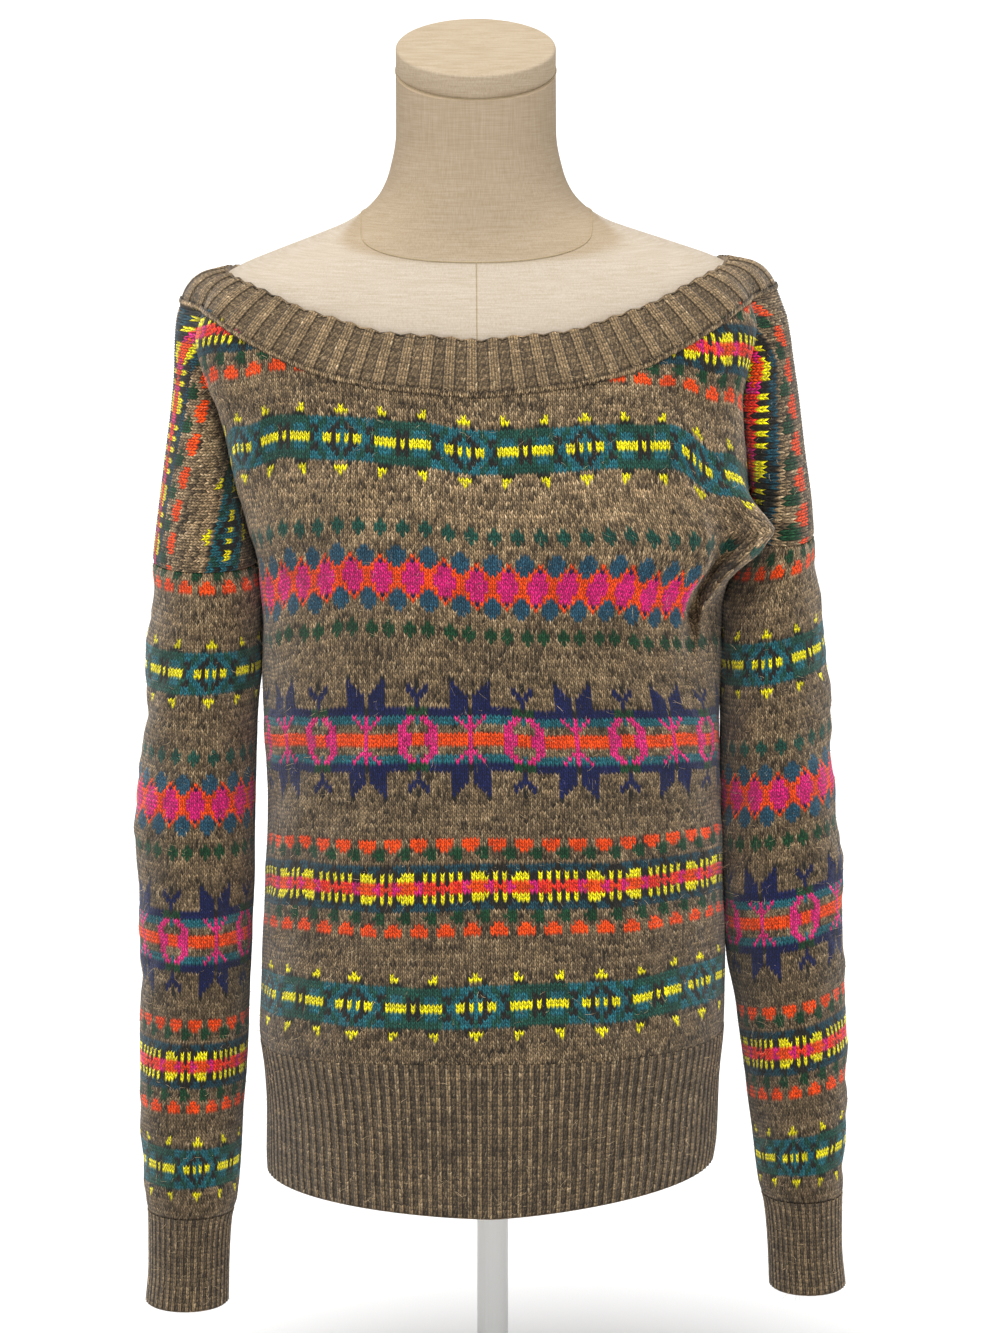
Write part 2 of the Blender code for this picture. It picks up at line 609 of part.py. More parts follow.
def build_torso(made_material):
    """The form's torso and neck: one smooth closed body, cut flat at the foot and forwards at the neck."""
    maker = bmesh.new()
    rings = []
    for level in TORSO_LEVELS:
        ring = []
        for side, face, backwards in QUARTERS:
            line = resampled([form_point(side, face, level, t) for t in np.linspace(0, 1, FINE_STEPS + 1)],
                             TORSO_QUARTER_CELLS)
            ring += (line[::-1] if backwards else line)[:-1]
        tilt = tan(NECK_TILT) * max(level - TILT_START_LEVEL, 0) / (NECK_TOP_LEVEL - TILT_START_LEVEL)
        rings.append([maker.verts.new((p.x, p.y, p.z + p.y * tilt)) for p in ring])
    for low, high in zip(rings, rings[1:]):
        for c in range(len(low)):
            after = (c + 1) % len(low)
            maker.faces.new([low[c], low[after], high[after], high[c]])
    maker.faces.new(rings[0])
    maker.faces.new(rings[-1])
    return finish_object("form_torso", maker, made_material)


def turned_solid(name, profile, sides, made_material, placed=Matrix.Identity(4)):
    """A closed turned body. The profile is (radius, height) from the bottom middle to the top middle."""
    maker = bmesh.new()
    rings = [[maker.verts.new(placed @ Vector((r * cos(2 * pi * k / sides), r * sin(2 * pi * k / sides), z)))
              for k in range(sides)] for r, z in profile]
    for low, high in zip(rings, rings[1:]):
        for c in range(sides):
            after = (c + 1) % sides
            maker.faces.new([low[c], low[after], high[after], high[c]])
    maker.faces.new(rings[0])
    maker.faces.new(rings[-1])
    return finish_object(name, maker, made_material)


def rounded_top(radius, height, edge):
    """The upper part of a turned profile, with its edge rounded by one chord."""
    chord = edge * (1 - cos(pi / 4))
    return [(radius, height - edge), (radius - chord, height - chord), (radius - edge, height)]


def build_cap(made_material):
    """The round cap on the neck, tilted forwards with it."""
    e = CAP_EDGE
    profile = [(CAP_RADIUS - e / 2, 0), (CAP_RADIUS, e / 2)] + rounded_top(CAP_RADIUS, CAP_THICKNESS, e)
    seat = Matrix.Translation((float(LEAN("shift", NECK_TOP_LEVEL)), 0, NECK_TOP_LEVEL))
    tilt = Matrix.Rotation(NECK_TILT, 4, "X")
    lift = Matrix.Translation((0, 0, SEAM_GAP))
    return turned_solid("neck_cap", profile, STAND_SIDES["cap"], made_material, seat @ tilt @ lift)


def build_pole(made_material):
    low, high = BASE_THICKNESS + SEAM_GAP, TORSO_FOOT_LEVEL - SEAM_GAP
    return turned_solid("pole", [(POLE_RADIUS, low), (POLE_RADIUS, high)], STAND_SIDES["pole"], made_material)


def build_base(made_material):
    profile = [(BASE_RADIUS - BASE_EDGE / 3, 0), (BASE_RADIUS, BASE_EDGE / 3)]
    profile += rounded_top(BASE_RADIUS, BASE_THICKNESS, BASE_EDGE)
    return turned_solid("base", profile, STAND_SIDES["base"], made_material)


def main():
    for old in list(bpy.data.objects):
        bpy.data.objects.remove(old, do_unlink=True)
    knit = material("heather_knit", (0.205, 0.160, 0.115), 0.92)
    rib = material("heather_rib", (0.190, 0.148, 0.108), 0.92)
    linen = material("linen", (0.640, 0.560, 0.440), 0.85)
    cap_linen = material("cap_linen", (0.560, 0.470, 0.350), 0.85)
    steel = material("white_steel", (0.850, 0.850, 0.840), 0.45)
    build_torso(linen)
    build_cap(cap_linen)
    build_pole(steel)
    build_base(steel)
    build_panel("front", knit)
    build_panel("back", knit)
    for side in SIDES:
        build_sleeve(side, knit)
        build_cuff(side, rib)
    build_hem_rib(rib)
    build_neckband(rib)


main()
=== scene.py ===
"""Looks of the fair isle jumper on its dress form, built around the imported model.

The knitting is a lattice of stitches laid on the same sections as the solids. Metres, +Z up, front -Y.
"""
import bpy
import numpy as np
from math import cos, pi, radians, sin, tan
from mathutils import Matrix, Vector
from types import SimpleNamespace


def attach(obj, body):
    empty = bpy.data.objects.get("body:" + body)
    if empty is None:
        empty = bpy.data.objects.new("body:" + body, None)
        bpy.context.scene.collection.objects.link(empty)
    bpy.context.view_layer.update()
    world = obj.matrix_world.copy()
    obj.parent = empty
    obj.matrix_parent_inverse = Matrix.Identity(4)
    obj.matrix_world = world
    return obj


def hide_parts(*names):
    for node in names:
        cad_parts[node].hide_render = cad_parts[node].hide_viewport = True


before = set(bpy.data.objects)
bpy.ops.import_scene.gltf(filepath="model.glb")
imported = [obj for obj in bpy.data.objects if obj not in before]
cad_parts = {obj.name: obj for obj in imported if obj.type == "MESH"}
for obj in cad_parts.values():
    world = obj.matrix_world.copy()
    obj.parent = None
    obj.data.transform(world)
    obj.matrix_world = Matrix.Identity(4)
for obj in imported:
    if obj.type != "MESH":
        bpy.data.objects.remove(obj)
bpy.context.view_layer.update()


def place_object(name, data):
    made = bpy.data.objects.new(name, data)
    bpy.context.scene.collection.objects.link(made)
    return made


# ---- camera
CAMERA_DISTANCE, CAMERA_PITCH = 4.0, radians(10.5)
AIM = Vector((0.00525, 0.0, 0.5545))
METRES_PER_PIXEL = 0.0007  # at the form's axis
IMAGE_HEIGHT = 1333
SENSOR = 36.0

camera_data = bpy.data.cameras.new("camera")
camera_data.sensor_fit = "VERTICAL"
camera_data.sensor_height = SENSOR
camera_data.lens = SENSOR * CAMERA_DISTANCE / (IMAGE_HEIGHT * METRES_PER_PIXEL)
camera = place_object("camera", camera_data)
camera.location = AIM + Vector((0, -cos(CAMERA_PITCH), sin(CAMERA_PITCH))) * CAMERA_DISTANCE
camera.rotation_euler = (pi / 2 - CAMERA_PITCH, 0, 0)
bpy.context.scene.camera = camera
bpy.context.scene.view_settings.view_transform = "Standard"

# ---- sizes, as in the solids
WALL, SEAT = 0.0024, 0.0006
HEM_LEVEL, HEM_JOINT_LEVEL = 0.188, 0.298
HEM_RISE = {"left": 0.0050, "right": 0.0136}
HEM_JOINT_DROP = {"left": 0.010, "right": 0.000}
HEM_RISE_POWER = 1.3
ARMHOLE_LEVEL = {"left": 0.6295, "right": 0.6465}
CUFF_JOINT_LEVEL = {"left": 0.163, "right": 0.175}
CUFF_END_LEVEL = {"left": 0.0950, "right": 0.1070}
NECK_TOP_LEVEL, TILT_START_LEVEL, NECK_TILT = 0.971, 0.920, radians(16.6)
CAP_RADIUS, CAP_THICKNESS, CAP_EDGE = 0.0550, 0.0172, 0.0022
FORM_POWER = 2.3
HEM_RIBS, CUFF_RIBS, NECK_RIBS = 128, 38, {"front": 16, "back": 15}
NECK_BULGE_MIDDLE, NECK_BULGE_SIDE = 0.0010, 0.0075
SIDES, FACES = ("left", "right"), ("front", "back")
SIGN = {"left": -1.0, "right": 1.0}
FACING = {"front": -1.0, "back": 1.0}
QUARTERS = (("left", "front", 1), ("left", "back", -1), ("right", "back", 1), ("right", "front", -1))


class Table:
    """A short table with named columns, read smoothly between its rows by the first column. The rows are in
    thousandths: lengths in mm, and powers too."""

    def __init__(self, columns, rows):
        data = np.array(rows, float) / 1000
        self.at = data[:, 0]
        self.columns = dict(zip(columns.split(), data.T))

    def __call__(self, column, position):
        x, y = self.at, self.columns[column]
        step = np.diff(x)
        rise = np.diff(y) / step
        before, after = step[:-1] + 2 * step[1:], 2 * step[:-1] + step[1:]
        with np.errstate(divide="ignore", invalid="ignore"):
            mean = (before + after) / (before / rise[:-1] + after / rise[1:])
        slope = np.concatenate([rise[:1], np.where(rise[1:] * rise[:-1] > 0, mean, 0), rise[-1:]])
        position = np.clip(position, x[0], x[-1])
        cell = np.clip(np.searchsorted(x, position) - 1, 0, len(step) - 1)
        t = (position - x[cell]) / step[cell]
        return (smooth(1 - t) * y[cell] + smooth(t) * y[cell + 1]
                + step[cell] * t * (1 - t) * ((1 - t) * slope[cell] - t * slope[cell + 1]))


LEAN = Table("level shift", [
    (0, 0), (300, 0), (460, -3), (650, -6), (810, -10.5), (1000, -11.5)])
RAISE = Table("level rise", [
    (620, 0), (700, 3), (780, 8.4), (850, 8.4), (880, 4), (910, 0)])
RAISE_START, RAISE_SPAN = -0.02, 0.20
FORM = Table("level half_width front back", [
    (235, 126, 86, 90), (247, 136, 94, 98), (300, 143, 98, 104), (360, 139, 96, 100), (460, 120, 90, 82),
    (540, 124, 100, 84), (600, 136, 114, 90), (655, 148, 121, 95), (700, 162, 117, 98),
    (740, 178, 106, 99), (780, 188, 94, 94.5), (800, 190.5, 88, 90.5), (815, 188, 82, 85.5),
    (826, 180, 76.5, 80.5), (836, 164, 71, 76.5), (846, 140, 66, 72), (856, 114, 62.5, 68),
    (866, 90, 60, 65), (878, 73.5, 58.5, 62.5), (888, 65.5, 57.5, 60.5), (902, 59.8, 56, 58),
    (928, 55.2, 55, 55.6), (971, 55, 55, 55)])
BODY = Table("level front back power", [
    (184, 119, 113, 2000), (230, 120, 113.5, 2100), (270, 122, 115, 2200), (300, 123, 115, 2300),
    (340, 121.5, 113, 2300), (400, 119.5, 109, 2300), (460, 119.5, 106, 2300), (530, 121.5, 104, 2300),
    (580, 124.5, 103, 2300), (620, 127, 103.5, 2300), (655, 127.5, 104.5, 2300), (700, 123.5, 106, 2300),
    (740, 113.5, 105.5, 2300), (780, 100.8, 101, 2300), (800, 94.8, 97, 2300), (813, 90.8, 93, 2300),
    (830, 86, 87, 2300)])
BODY_SIDE = {
    "left": Table("level side valley_depth", [
        (184, 159, 0), (205, 160, 0), (240, 159.5, 0), (268, 161, 0), (300, 164.5, 0), (343, 163, 0),
        (387, 160, 0), (423, 158.5, 0), (460, 158, 0), (531, 160, 0), (600, 160.5, 0), (629.5, 162.5, 0),
        (660, 170.7, 9), (700, 180.3, 21), (740, 189, 28), (760, 197.1, 30), (790, 203.5, 32),
        (800, 201, 34), (813, 196.5, 34)]),
    "right": Table("level side valley_depth", [
        (184, 154, 0), (200, 156, 0), (217, 158.5, 0), (262, 160, 0), (300, 163.2, 0), (340, 164, 0),
        (387, 162.5, 0), (460, 160, 0), (530, 159, 0), (600, 160, 0), (620, 165.5, 0), (646.5, 179, 0),
        (670, 178.3, 10), (700, 175, 24), (740, 172.3, 32), (760, 175.7, 32), (790, 181.2, 32),
        (800, 179, 34), (813, 175.8, 34)])}
# Knitted sleeves rest against the body, so their inner sides lie up to 2 mm nearer to it than the solids'.
ARM = {
    "left": Table("level outer inner bulge", [
        (92, 247.7, 189.2, 32.5), (125, 245, 188.3, 30.5), (158, 244.9, 185.9, 33),
        (170, 246.1, 182.3, 37), (190, 247.1, 179.8, 40), (242, 249, 176.6, 43), (315, 249.5, 171.9, 47),
        (390, 249.7, 168.8, 50), (460, 248.6, 166.7, 52), (530, 243.3, 164, 54), (570, 240.1, 160.8, 54.3),
        (600, 237.7, 160.6, 54.5), (629.5, 236.7, 162.5, 53), (660, 233.3, 170.7, 48),
        (700, 228, 180.3, 38), (740, 222.8, 189, 26), (760, 220.9, 197.1, 19), (790, 219.8, 203.5, 13),
        (800, 218.7, 201, 12), (813, 214.9, 196.5, 11)]),
    "right": Table("level outer inner bulge", [
        (104, 251.8, 198.2, 32), (140, 248.5, 196.4, 30.5), (170, 248.4, 193.2, 33),
        (182, 249.3, 189.6, 37), (200, 249.9, 186.9, 40), (242, 250.2, 181.4, 43), (315, 249.4, 172, 47),
        (350, 248, 165.2, 48.5), (390, 246.5, 162.6, 50), (460, 241.5, 160.1, 52.5),
        (530, 235.3, 159.1, 54), (600, 229, 160.3, 54), (620, 226.8, 166, 53), (646.5, 224.1, 179, 51),
        (670, 222.1, 178.3, 48), (700, 217.6, 175, 42), (740, 212.2, 172.3, 30), (760, 208.9, 175.7, 22),
        (790, 204, 181.2, 15), (800, 200.6, 179, 13), (813, 195.7, 175.8, 12)])}
NECK_EDGE = {
    "front": Table("from_middle upper lower", [
        (0, 795, 760), (60, 799.5, 765), (105, 810, 773), (140, 821.5, 786), (165, 829.5, 798),
        (185, 833, 808.5), (210, 835, 812.5)]),
    "back": Table("from_middle upper lower", [
        (0, 814, 780), (60, 816, 783), (105, 821, 789), (140, 826, 796), (165, 830, 802),
        (185, 833, 808.5), (210, 835, 812.5)])}
FOLD_LEVEL, FOLD_ABOVE, FOLD_BELOW, FOLD_PLACE, FOLD_HALF_WIDTH = 0.659, 0.050, 0.060, 0.74, 0.15
FOLD_OUT = (0.026, -0.004)
# The crease behind the bust is narrower and deeper than the solid's, and the web beside it turns under.
CREASE_LEVEL, CREASE_HALF_HEIGHT, CREASE_IN = 0.630, 0.062, 0.028
CREASE_PLACE, CREASE_HALF_WIDTH = 0.64, 0.058
WEB_LEVEL, WEB_HALF_HEIGHT, WEB_PLACE, WEB_HALF_WIDTH, WEB_IN = 0.610, 0.048, 0.80, 0.18, 0.012


# ---- small sums
def evenly(count):
    return np.linspace(0, 1, count)


def within(value):
    return np.clip(value, 0, 1)


def hump(offset, half_width):
    """1 in the middle, falling smoothly to 0 at half_width."""
    return (1 - within(np.abs(offset) / half_width) ** 2) ** 2


def peak(offset, half_width):
    """1 in the middle, falling in a point to 0 at half_width."""
    return within(1 - np.abs(offset) / half_width) ** 1.5


def smooth(share):
    return share * share * (3 - 2 * share)


def unit(vectors):
    return vectors / (np.linalg.norm(vectors, axis=-1, keepdims=True) + 1e-12)


def length_along(points):
    return np.concatenate([[0], np.cumsum(np.linalg.norm(np.diff(points, axis=0), axis=1))])


def even_line(points, count):
    """The same line with evenly spaced points."""
    run = length_along(points)
    at = np.linspace(0, run[-1], count)
    return np.stack([np.interp(at, run, points[:, axis]) for axis in range(3)], -1)


def between(grid, row, column):
    """A grid's value between its points."""
    r, c = row.astype(int), column.astype(int)
    across, up = column - c, row - r
    if grid.ndim == 3:
        across, up = across[..., None], up[..., None]
    return ((grid[r, c] * (1 - across) + grid[r, c + 1] * across) * (1 - up)
            + (grid[r + 1, c] * (1 - across) + grid[r + 1, c + 1] * across) * up)


def at_shares(grid, up, across):
    """A grid's value at a share of its height and a share of its width."""
    last_row, last_column = grid.shape[0] - 1, grid.shape[1] - 1
    return between(grid, np.clip(up * last_row, 0, last_row - 0.001),
                   np.clip(across * last_column, 0, last_column - 0.001))


def round_body(line_of):
    """A closed ring, from the lines of its four quarters that run from the middle to the side."""
    return np.concatenate([line_of(side, face)[::way][:-1] for side, face, way in QUARTERS])


# ---- surfaces
ROUND_POINTS, HALF_ROUND_POINTS, GIRTH_ROWS = 241, 121, 150  # how finely sections are measured
NEAR_NECK, NECK_STEPS = 0.80, 12  # the search for the neckband's edges starts at this level


def quadrant(place, power):
    """A unit superellipse from (0, 1) in the middle to (1, 0) at the side."""
    angle = np.asarray(place) * pi / 2
    return within(np.sin(angle)) ** (2 / power), within(np.cos(angle)) ** (2 / power)


def raised(x, y, level):
    share = np.clip((x - RAISE_START) / RAISE_SPAN, 0, None) ** 2
    return np.stack(np.broadcast_arrays(x, y, level + RAISE("rise", level) * share), -1)


def form_at(side, face, level, place):
    across, along = quadrant(place, FORM_POWER)
    x = LEAN("shift", level) + SIGN[side] * FORM("half_width", level) * across
    return raised(x, FACING[face] * FORM(face, level) * along, level)


def chest_at(side, face, level, place, creased=1.0):
    """The jumper's body at a level: place 0 is the middle, 1 the side seam or the valley. creased is the
    share of the crease's depth."""
    across, along = quadrant(place, BODY("power", level))
    middle = LEAN("shift", level)
    edge = SIGN[side] * BODY_SIDE[side]("side", level)
    valley = BODY_SIDE[side]("valley_depth", level)
    x = middle + (edge - middle) * across
    y = FACING[face] * (valley + (BODY(face, level) - valley) * along)
    if side == "right" and face == "front":
        half_height = np.where(level > FOLD_LEVEL, FOLD_ABOVE, FOLD_BELOW)
        push = peak(level - FOLD_LEVEL, half_height) * hump(place - FOLD_PLACE, FOLD_HALF_WIDTH)
        crease = (hump(level - CREASE_LEVEL, CREASE_HALF_HEIGHT)
                  * hump(place - CREASE_PLACE, CREASE_HALF_WIDTH))
        web = hump(level - WEB_LEVEL, WEB_HALF_HEIGHT) * hump(place - WEB_PLACE, WEB_HALF_WIDTH)
        x = x + FOLD_OUT[0] * push
        y = y + FOLD_OUT[1] * push + (CREASE_IN * crease + WEB_IN * web) * creased
    return raised(x, y, level)


def arm_at(side, face, level, place):
    """The hanging shoulder or sleeve at a level: place 0 is its outer side, 1 its inner side."""
    outer, inner = ARM[side]("outer", level), ARM[side]("inner", level)
    valley = np.where(level > ARMHOLE_LEVEL[side], BODY_SIDE[side]("valley_depth", level), 0.0)
    x = SIGN[side] * (outer + (inner - outer) * (1 - np.cos(pi * place)) / 2)
    y = FACING[face] * (valley * place ** 2 + ARM[side]("bulge", level) * np.sin(pi * place))
    return raised(x, y, level)


def neck_level(at, side, face, place, edge):
    """The level at which a surface, at a place round it, meets an edge of the neckband."""
    level = np.full(np.shape(place), NEAR_NECK)
    for _ in range(NECK_STEPS):
        from_middle = np.abs(at(side, face, level, place)[..., 0] - LEAN("shift", level))
        level = NECK_EDGE[face](edge, from_middle)
    return level


class Girth:
    """A surface read by level and by the share of its length round, from place 0 to place 1. The length may
    be that of another surface, spread."""

    def __init__(self, at, side, face, low, high, spread=None):
        self.at, self.side, self.face, self.low, self.high = at, side, face, low, high
        places, shares = evenly(ROUND_POINTS), evenly(HALF_ROUND_POINTS)
        rows = []
        for level in np.linspace(low, high, GIRTH_ROWS):
            run = length_along((spread or at)(side, face, level + 0 * places, places))
            rows.append(np.interp(shares, run / run[-1], places))
        self.places = np.array(rows)

    def place(self, level, share):
        return at_shares(self.places, (level - self.low) / (self.high - self.low), share)

    def points(self, level, share):
        return self.at(self.side, self.face, level, self.place(level, share))


def ring_reader(rings):
    """Read a stack of closed rings, given with even points, by share round and share up."""
    rings = np.array(rings)
    return lambda share, up: at_shares(rings, *np.broadcast_arrays(up, share))


def tube_reader(side, low, high, rows):
    """A sleeve read by share round and level: share 0 is its inner seam, then front, outer side and back."""
    rings, places = [], evenly(HALF_ROUND_POINTS)
    for level in np.linspace(low, high, rows):
        front, back = (arm_at(side, face, level + 0 * places, places) for face in FACES)
        rings.append(even_line(np.concatenate([front[::-1], back[1:]]), ROUND_POINTS))
    read = ring_reader(rings)
    return lambda share, level: read(share, (level - low) / (high - low))


# ---- yarn colours, as sRGB
def linear(text):
    value = np.array([int(text[k:k + 2], 16) for k in (0, 2, 4)]) / 255
    return np.where(value <= 0.04045, value / 12.92, ((value + 0.055) / 1.055) ** 2.4)


DEPTH = 0.82  # under the bright light of the stage, cloth takes this share of its swatch
YARNS = {
    ".": "8d7657", "Y": "fff000", "O": "ff5006", "V": "ff3626", "M": "e4207c", "P": "ea2e80", "N": "151e4f",
    "T": "206974", "D": "1b5042", "B": "29556b", "G": "154527", "E": "1b4653", "K": "26241f"}
YARN_KEYS = "".join(YARNS)
YARN_COLOURS = np.array([linear(YARNS[key]) for key in YARN_KEYS])
PALE_WOOL = linear("c9b08a")
PALE_SHARE = 0.07  # of the ground's stitches are of pale wool
PAINTED_LIGHT_LEVELS = (0.20, 0.33, 0.50, 0.60, 0.69, 0.76)  # painted light: the ground is paler over the chest
PAINTED_LIGHT_TONES = (0.74, 0.72, 0.88, 0.99, 1.30, 1.00)  # and painted shade makes it darker towards the hem

# ---- stitch lattice
WALE = 0.00380  # width of a stitch on the hanging shoulders
COURSE = 0.00295  # height of a stitch
QUARTER_WALES = {"front": 74, "back": 72}  # stitches from the middle to the side of a panel
PANEL_COURSES, PANEL_SEED = 182, {"front": 2, "back": 5}
SLEEVE_WALES = 108
ZIGZAG = np.array([0.46, 0.0, -0.46, 0.0])  # of a course, at the four columns of a stitch
RELIEF = np.array([-0.00046, 0.00030, -0.00026, 0.00030])  # how far each column stands out
COLUMN_PAINTED_SHADE = np.array([0.34, 1.22, 0.44, 1.22])  # painted shade in the furrows between legs, painted highlight on the legs
COURSE_PAINTED_SHADE = (0.30, 1.50)  # and painted shade at the foot of each stitch, painted highlight at its top
JITTER = 0.10  # of a stitch: hand-knitted yarn lies unevenly
STREAK_LENGTH = (3, 6)  # least stitches in a streak of the ground, and what may be added
GROUND_SHADE, MOTIF_SHADE = (0.10, 1.22, 0.66), (0.80, 0.58)  # least, and what a stitch and a streak add
GROUND_MEAN = 0.93  # of its shades, which less mottled cloth keeps to
UV_MARGIN = 0.01  # round each patch of the flat map

# How far each course lies above or below its height at the middle, at eleven even shares from the left side
# to the right. Each row starts with the rise of its course over the hem joint. All are in mm.
COURSE_WAVES = np.array([
    (0, -10, -6.4, -3.6, -2, -1, 0, 0.5, 0.5, 0.5, 0, 0),
    (39.2, -13, -8, -3.5, -3, -2.5, 0, 2, 0.5, 4, 2.5, -2),
    (125.2, -22, -13, -7, -5, -2, 0, -0.5, -2, -2.5, -4.5, -12),
    (227.2, -24, -15.5, -9, -4, -1, 0, -3, -5, -8, -14, -22.7),
    (335, -28, -18, -4.5, 5, 5.5, 0, -2, -3.5, -12, -18, -28),
    (423.2, -25.5, -4, 8.5, 8.5, 5.5, 0, 1, 2.5, 0, -24, -48),
    (504, -10.6, -3, 3, 3, 2, 0, -2, -6, -14, -24, -33),
    (590, -8, -3, 2, 2, 1, 0, -2, -5, -10, -16, -22)]) / 1000


def course_level(rise, share):
    """The level of a course, by its rise over the hem joint at the middle."""
    heights, waves = COURSE_WAVES[:, 0], COURSE_WAVES[:, 1:]
    r = np.clip(rise, 0, heights[-1] - 1e-6)
    row = np.clip(np.searchsorted(heights, r, side="right") - 1, 0, len(heights) - 2)
    row = row + smooth((r - heights[row]) / (heights[row + 1] - heights[row]))
    at = np.clip((share + 1) / 2, 0, 0.99999) * (waves.shape[1] - 1)
    cell = at.astype(int)
    return HEM_JOINT_LEVEL + rise + between(waves, row, cell + smooth(at - cell))


# Soft unevenness of hanging cloth: each wave has a direction, a length and a height in mm.
WAVES = [((0.9, 0.2, 0.4), 0.071, 0.9), ((-0.5, 0.4, 0.8), 0.052, 0.7), ((0.2, -0.7, 0.7), 0.093, 0.9),
         ((1.0, 0.1, -0.3), 0.037, 0.40), ((0.3, 0.3, 0.9), 0.029, 0.34), ((0.8, 0.5, 0.5), 0.017, 0.20),
         ((-0.7, 0.2, 0.7), 0.014, 0.18), ((0.1, 0.9, 0.9), 0.011, 0.13)]
WAVE_SHIFT, WAVE_BEND, WAVE_BENDS = 1.7, 0.9, 0.37  # from wave to wave, and how far and how often one bends


def unevenness(points):
    total = np.zeros(points.shape[:-1])
    for number, (direction, length, height) in enumerate(WAVES):
        phase = points @ np.array(direction) * 2 * pi / length + WAVE_SHIFT * number
        total += np.sin(phase + WAVE_BEND * np.sin(phase * WAVE_BENDS + number)) * height / 1000
    return total


def grid_normals(points, outward):
    """Normals of a grid of points that look outward, and the turn of the grid itself."""
    normals = unit(np.cross(np.gradient(points, axis=1), np.gradient(points, axis=0)))
    turn = np.sign((normals * outward(points)).sum())
    return normals * turn, turn


def numbered(*shape):
    return np.arange(np.prod(shape)).reshape(shape)


def quads_of(index):
    """The faces between the numbered points of a grid, or of each of many grids."""
    corners = (index[..., :-1, :-1], index[..., :-1, 1:], index[..., 1:, 1:], index[..., 1:, :-1])
    return np.stack(corners, -1).reshape(-1, 4)


def make_object(name, points, quads, corner_colours, corner_uv):
    """A woollen mesh from arrays, with a yarn colour, painted shade and light included, at each corner of
    its faces.
    """
    used, inverse = np.unique(quads, return_inverse=True)
    quads = inverse.reshape(quads.shape)
    mesh = bpy.data.meshes.new(name)
    mesh.vertices.add(len(used))
    mesh.vertices.foreach_set("co", points[used].astype(np.float32).ravel())
    mesh.loops.add(quads.size)
    mesh.loops.foreach_set("vertex_index", quads.astype(np.int32).ravel())
    mesh.polygons.add(len(quads))
    mesh.polygons.foreach_set("loop_start", np.arange(0, quads.size, 4, dtype=np.int32))
    mesh.update(calc_edges=True)
    rgba = np.ones((len(quads), 4, 4), np.float32)
    rgba[:, :, :3] = corner_colours
    mesh.color_attributes.new("yarn", "FLOAT_COLOR", "CORNER").data.foreach_set("color", rgba.ravel())
    mesh.uv_layers.new(name="OFBake").data.foreach_set("uv", corner_uv.astype(np.float32).ravel())
    mesh.shade_smooth()
    mesh.materials.append(WOOL)
    return place_object(name, mesh)


def scattered(*numbers):
    """A repeatable number from 0 to 1 for each set of whole numbers."""
    value = np.zeros(np.shape(numbers[0]))
    for scale, number in zip((12.9898, 78.233, 37.719, 4.581), numbers):
        value = value + np.asarray(number) * scale
    value = np.sin(value) * 43758.5453
    return value - np.floor(value)


def heathered(key, k, j, leg, seed, mottle=1.0):
    """Yarn colours of the faces. The ground is spun from dark and pale wool, which shows as short streaks
    along the courses."""
    single = scattered(k, j, leg, seed)
    start = np.floor(STREAK_LENGTH[0] + STREAK_LENGTH[1] * scattered(j, 0, 0, seed + 1))
    streak = scattered(np.floor((k + start) / start), j, 0, seed)
    ground = key == 0
    uneven = GROUND_SHADE[0] + GROUND_SHADE[1] * single + GROUND_SHADE[2] * streak ** 2
    shade = np.where(ground, GROUND_MEAN + (uneven - GROUND_MEAN) * mottle,
                     MOTIF_SHADE[0] + MOTIF_SHADE[1] * single)
    colours = YARN_COLOURS[key] * DEPTH * shade[..., None]
    pale = ground & (single > 1 - PALE_SHARE * mottle)
    colours[pale] = (colours[pale] + PALE_WOOL * DEPTH) / 2
    return colours


def ground_yarn(k, j):
    return np.zeros(k.shape, int)


def leg_of(values, column):
    """What one of the four columns of a stitch takes from its values."""
    return values[np.rint(column * 4).astype(int) % 4]


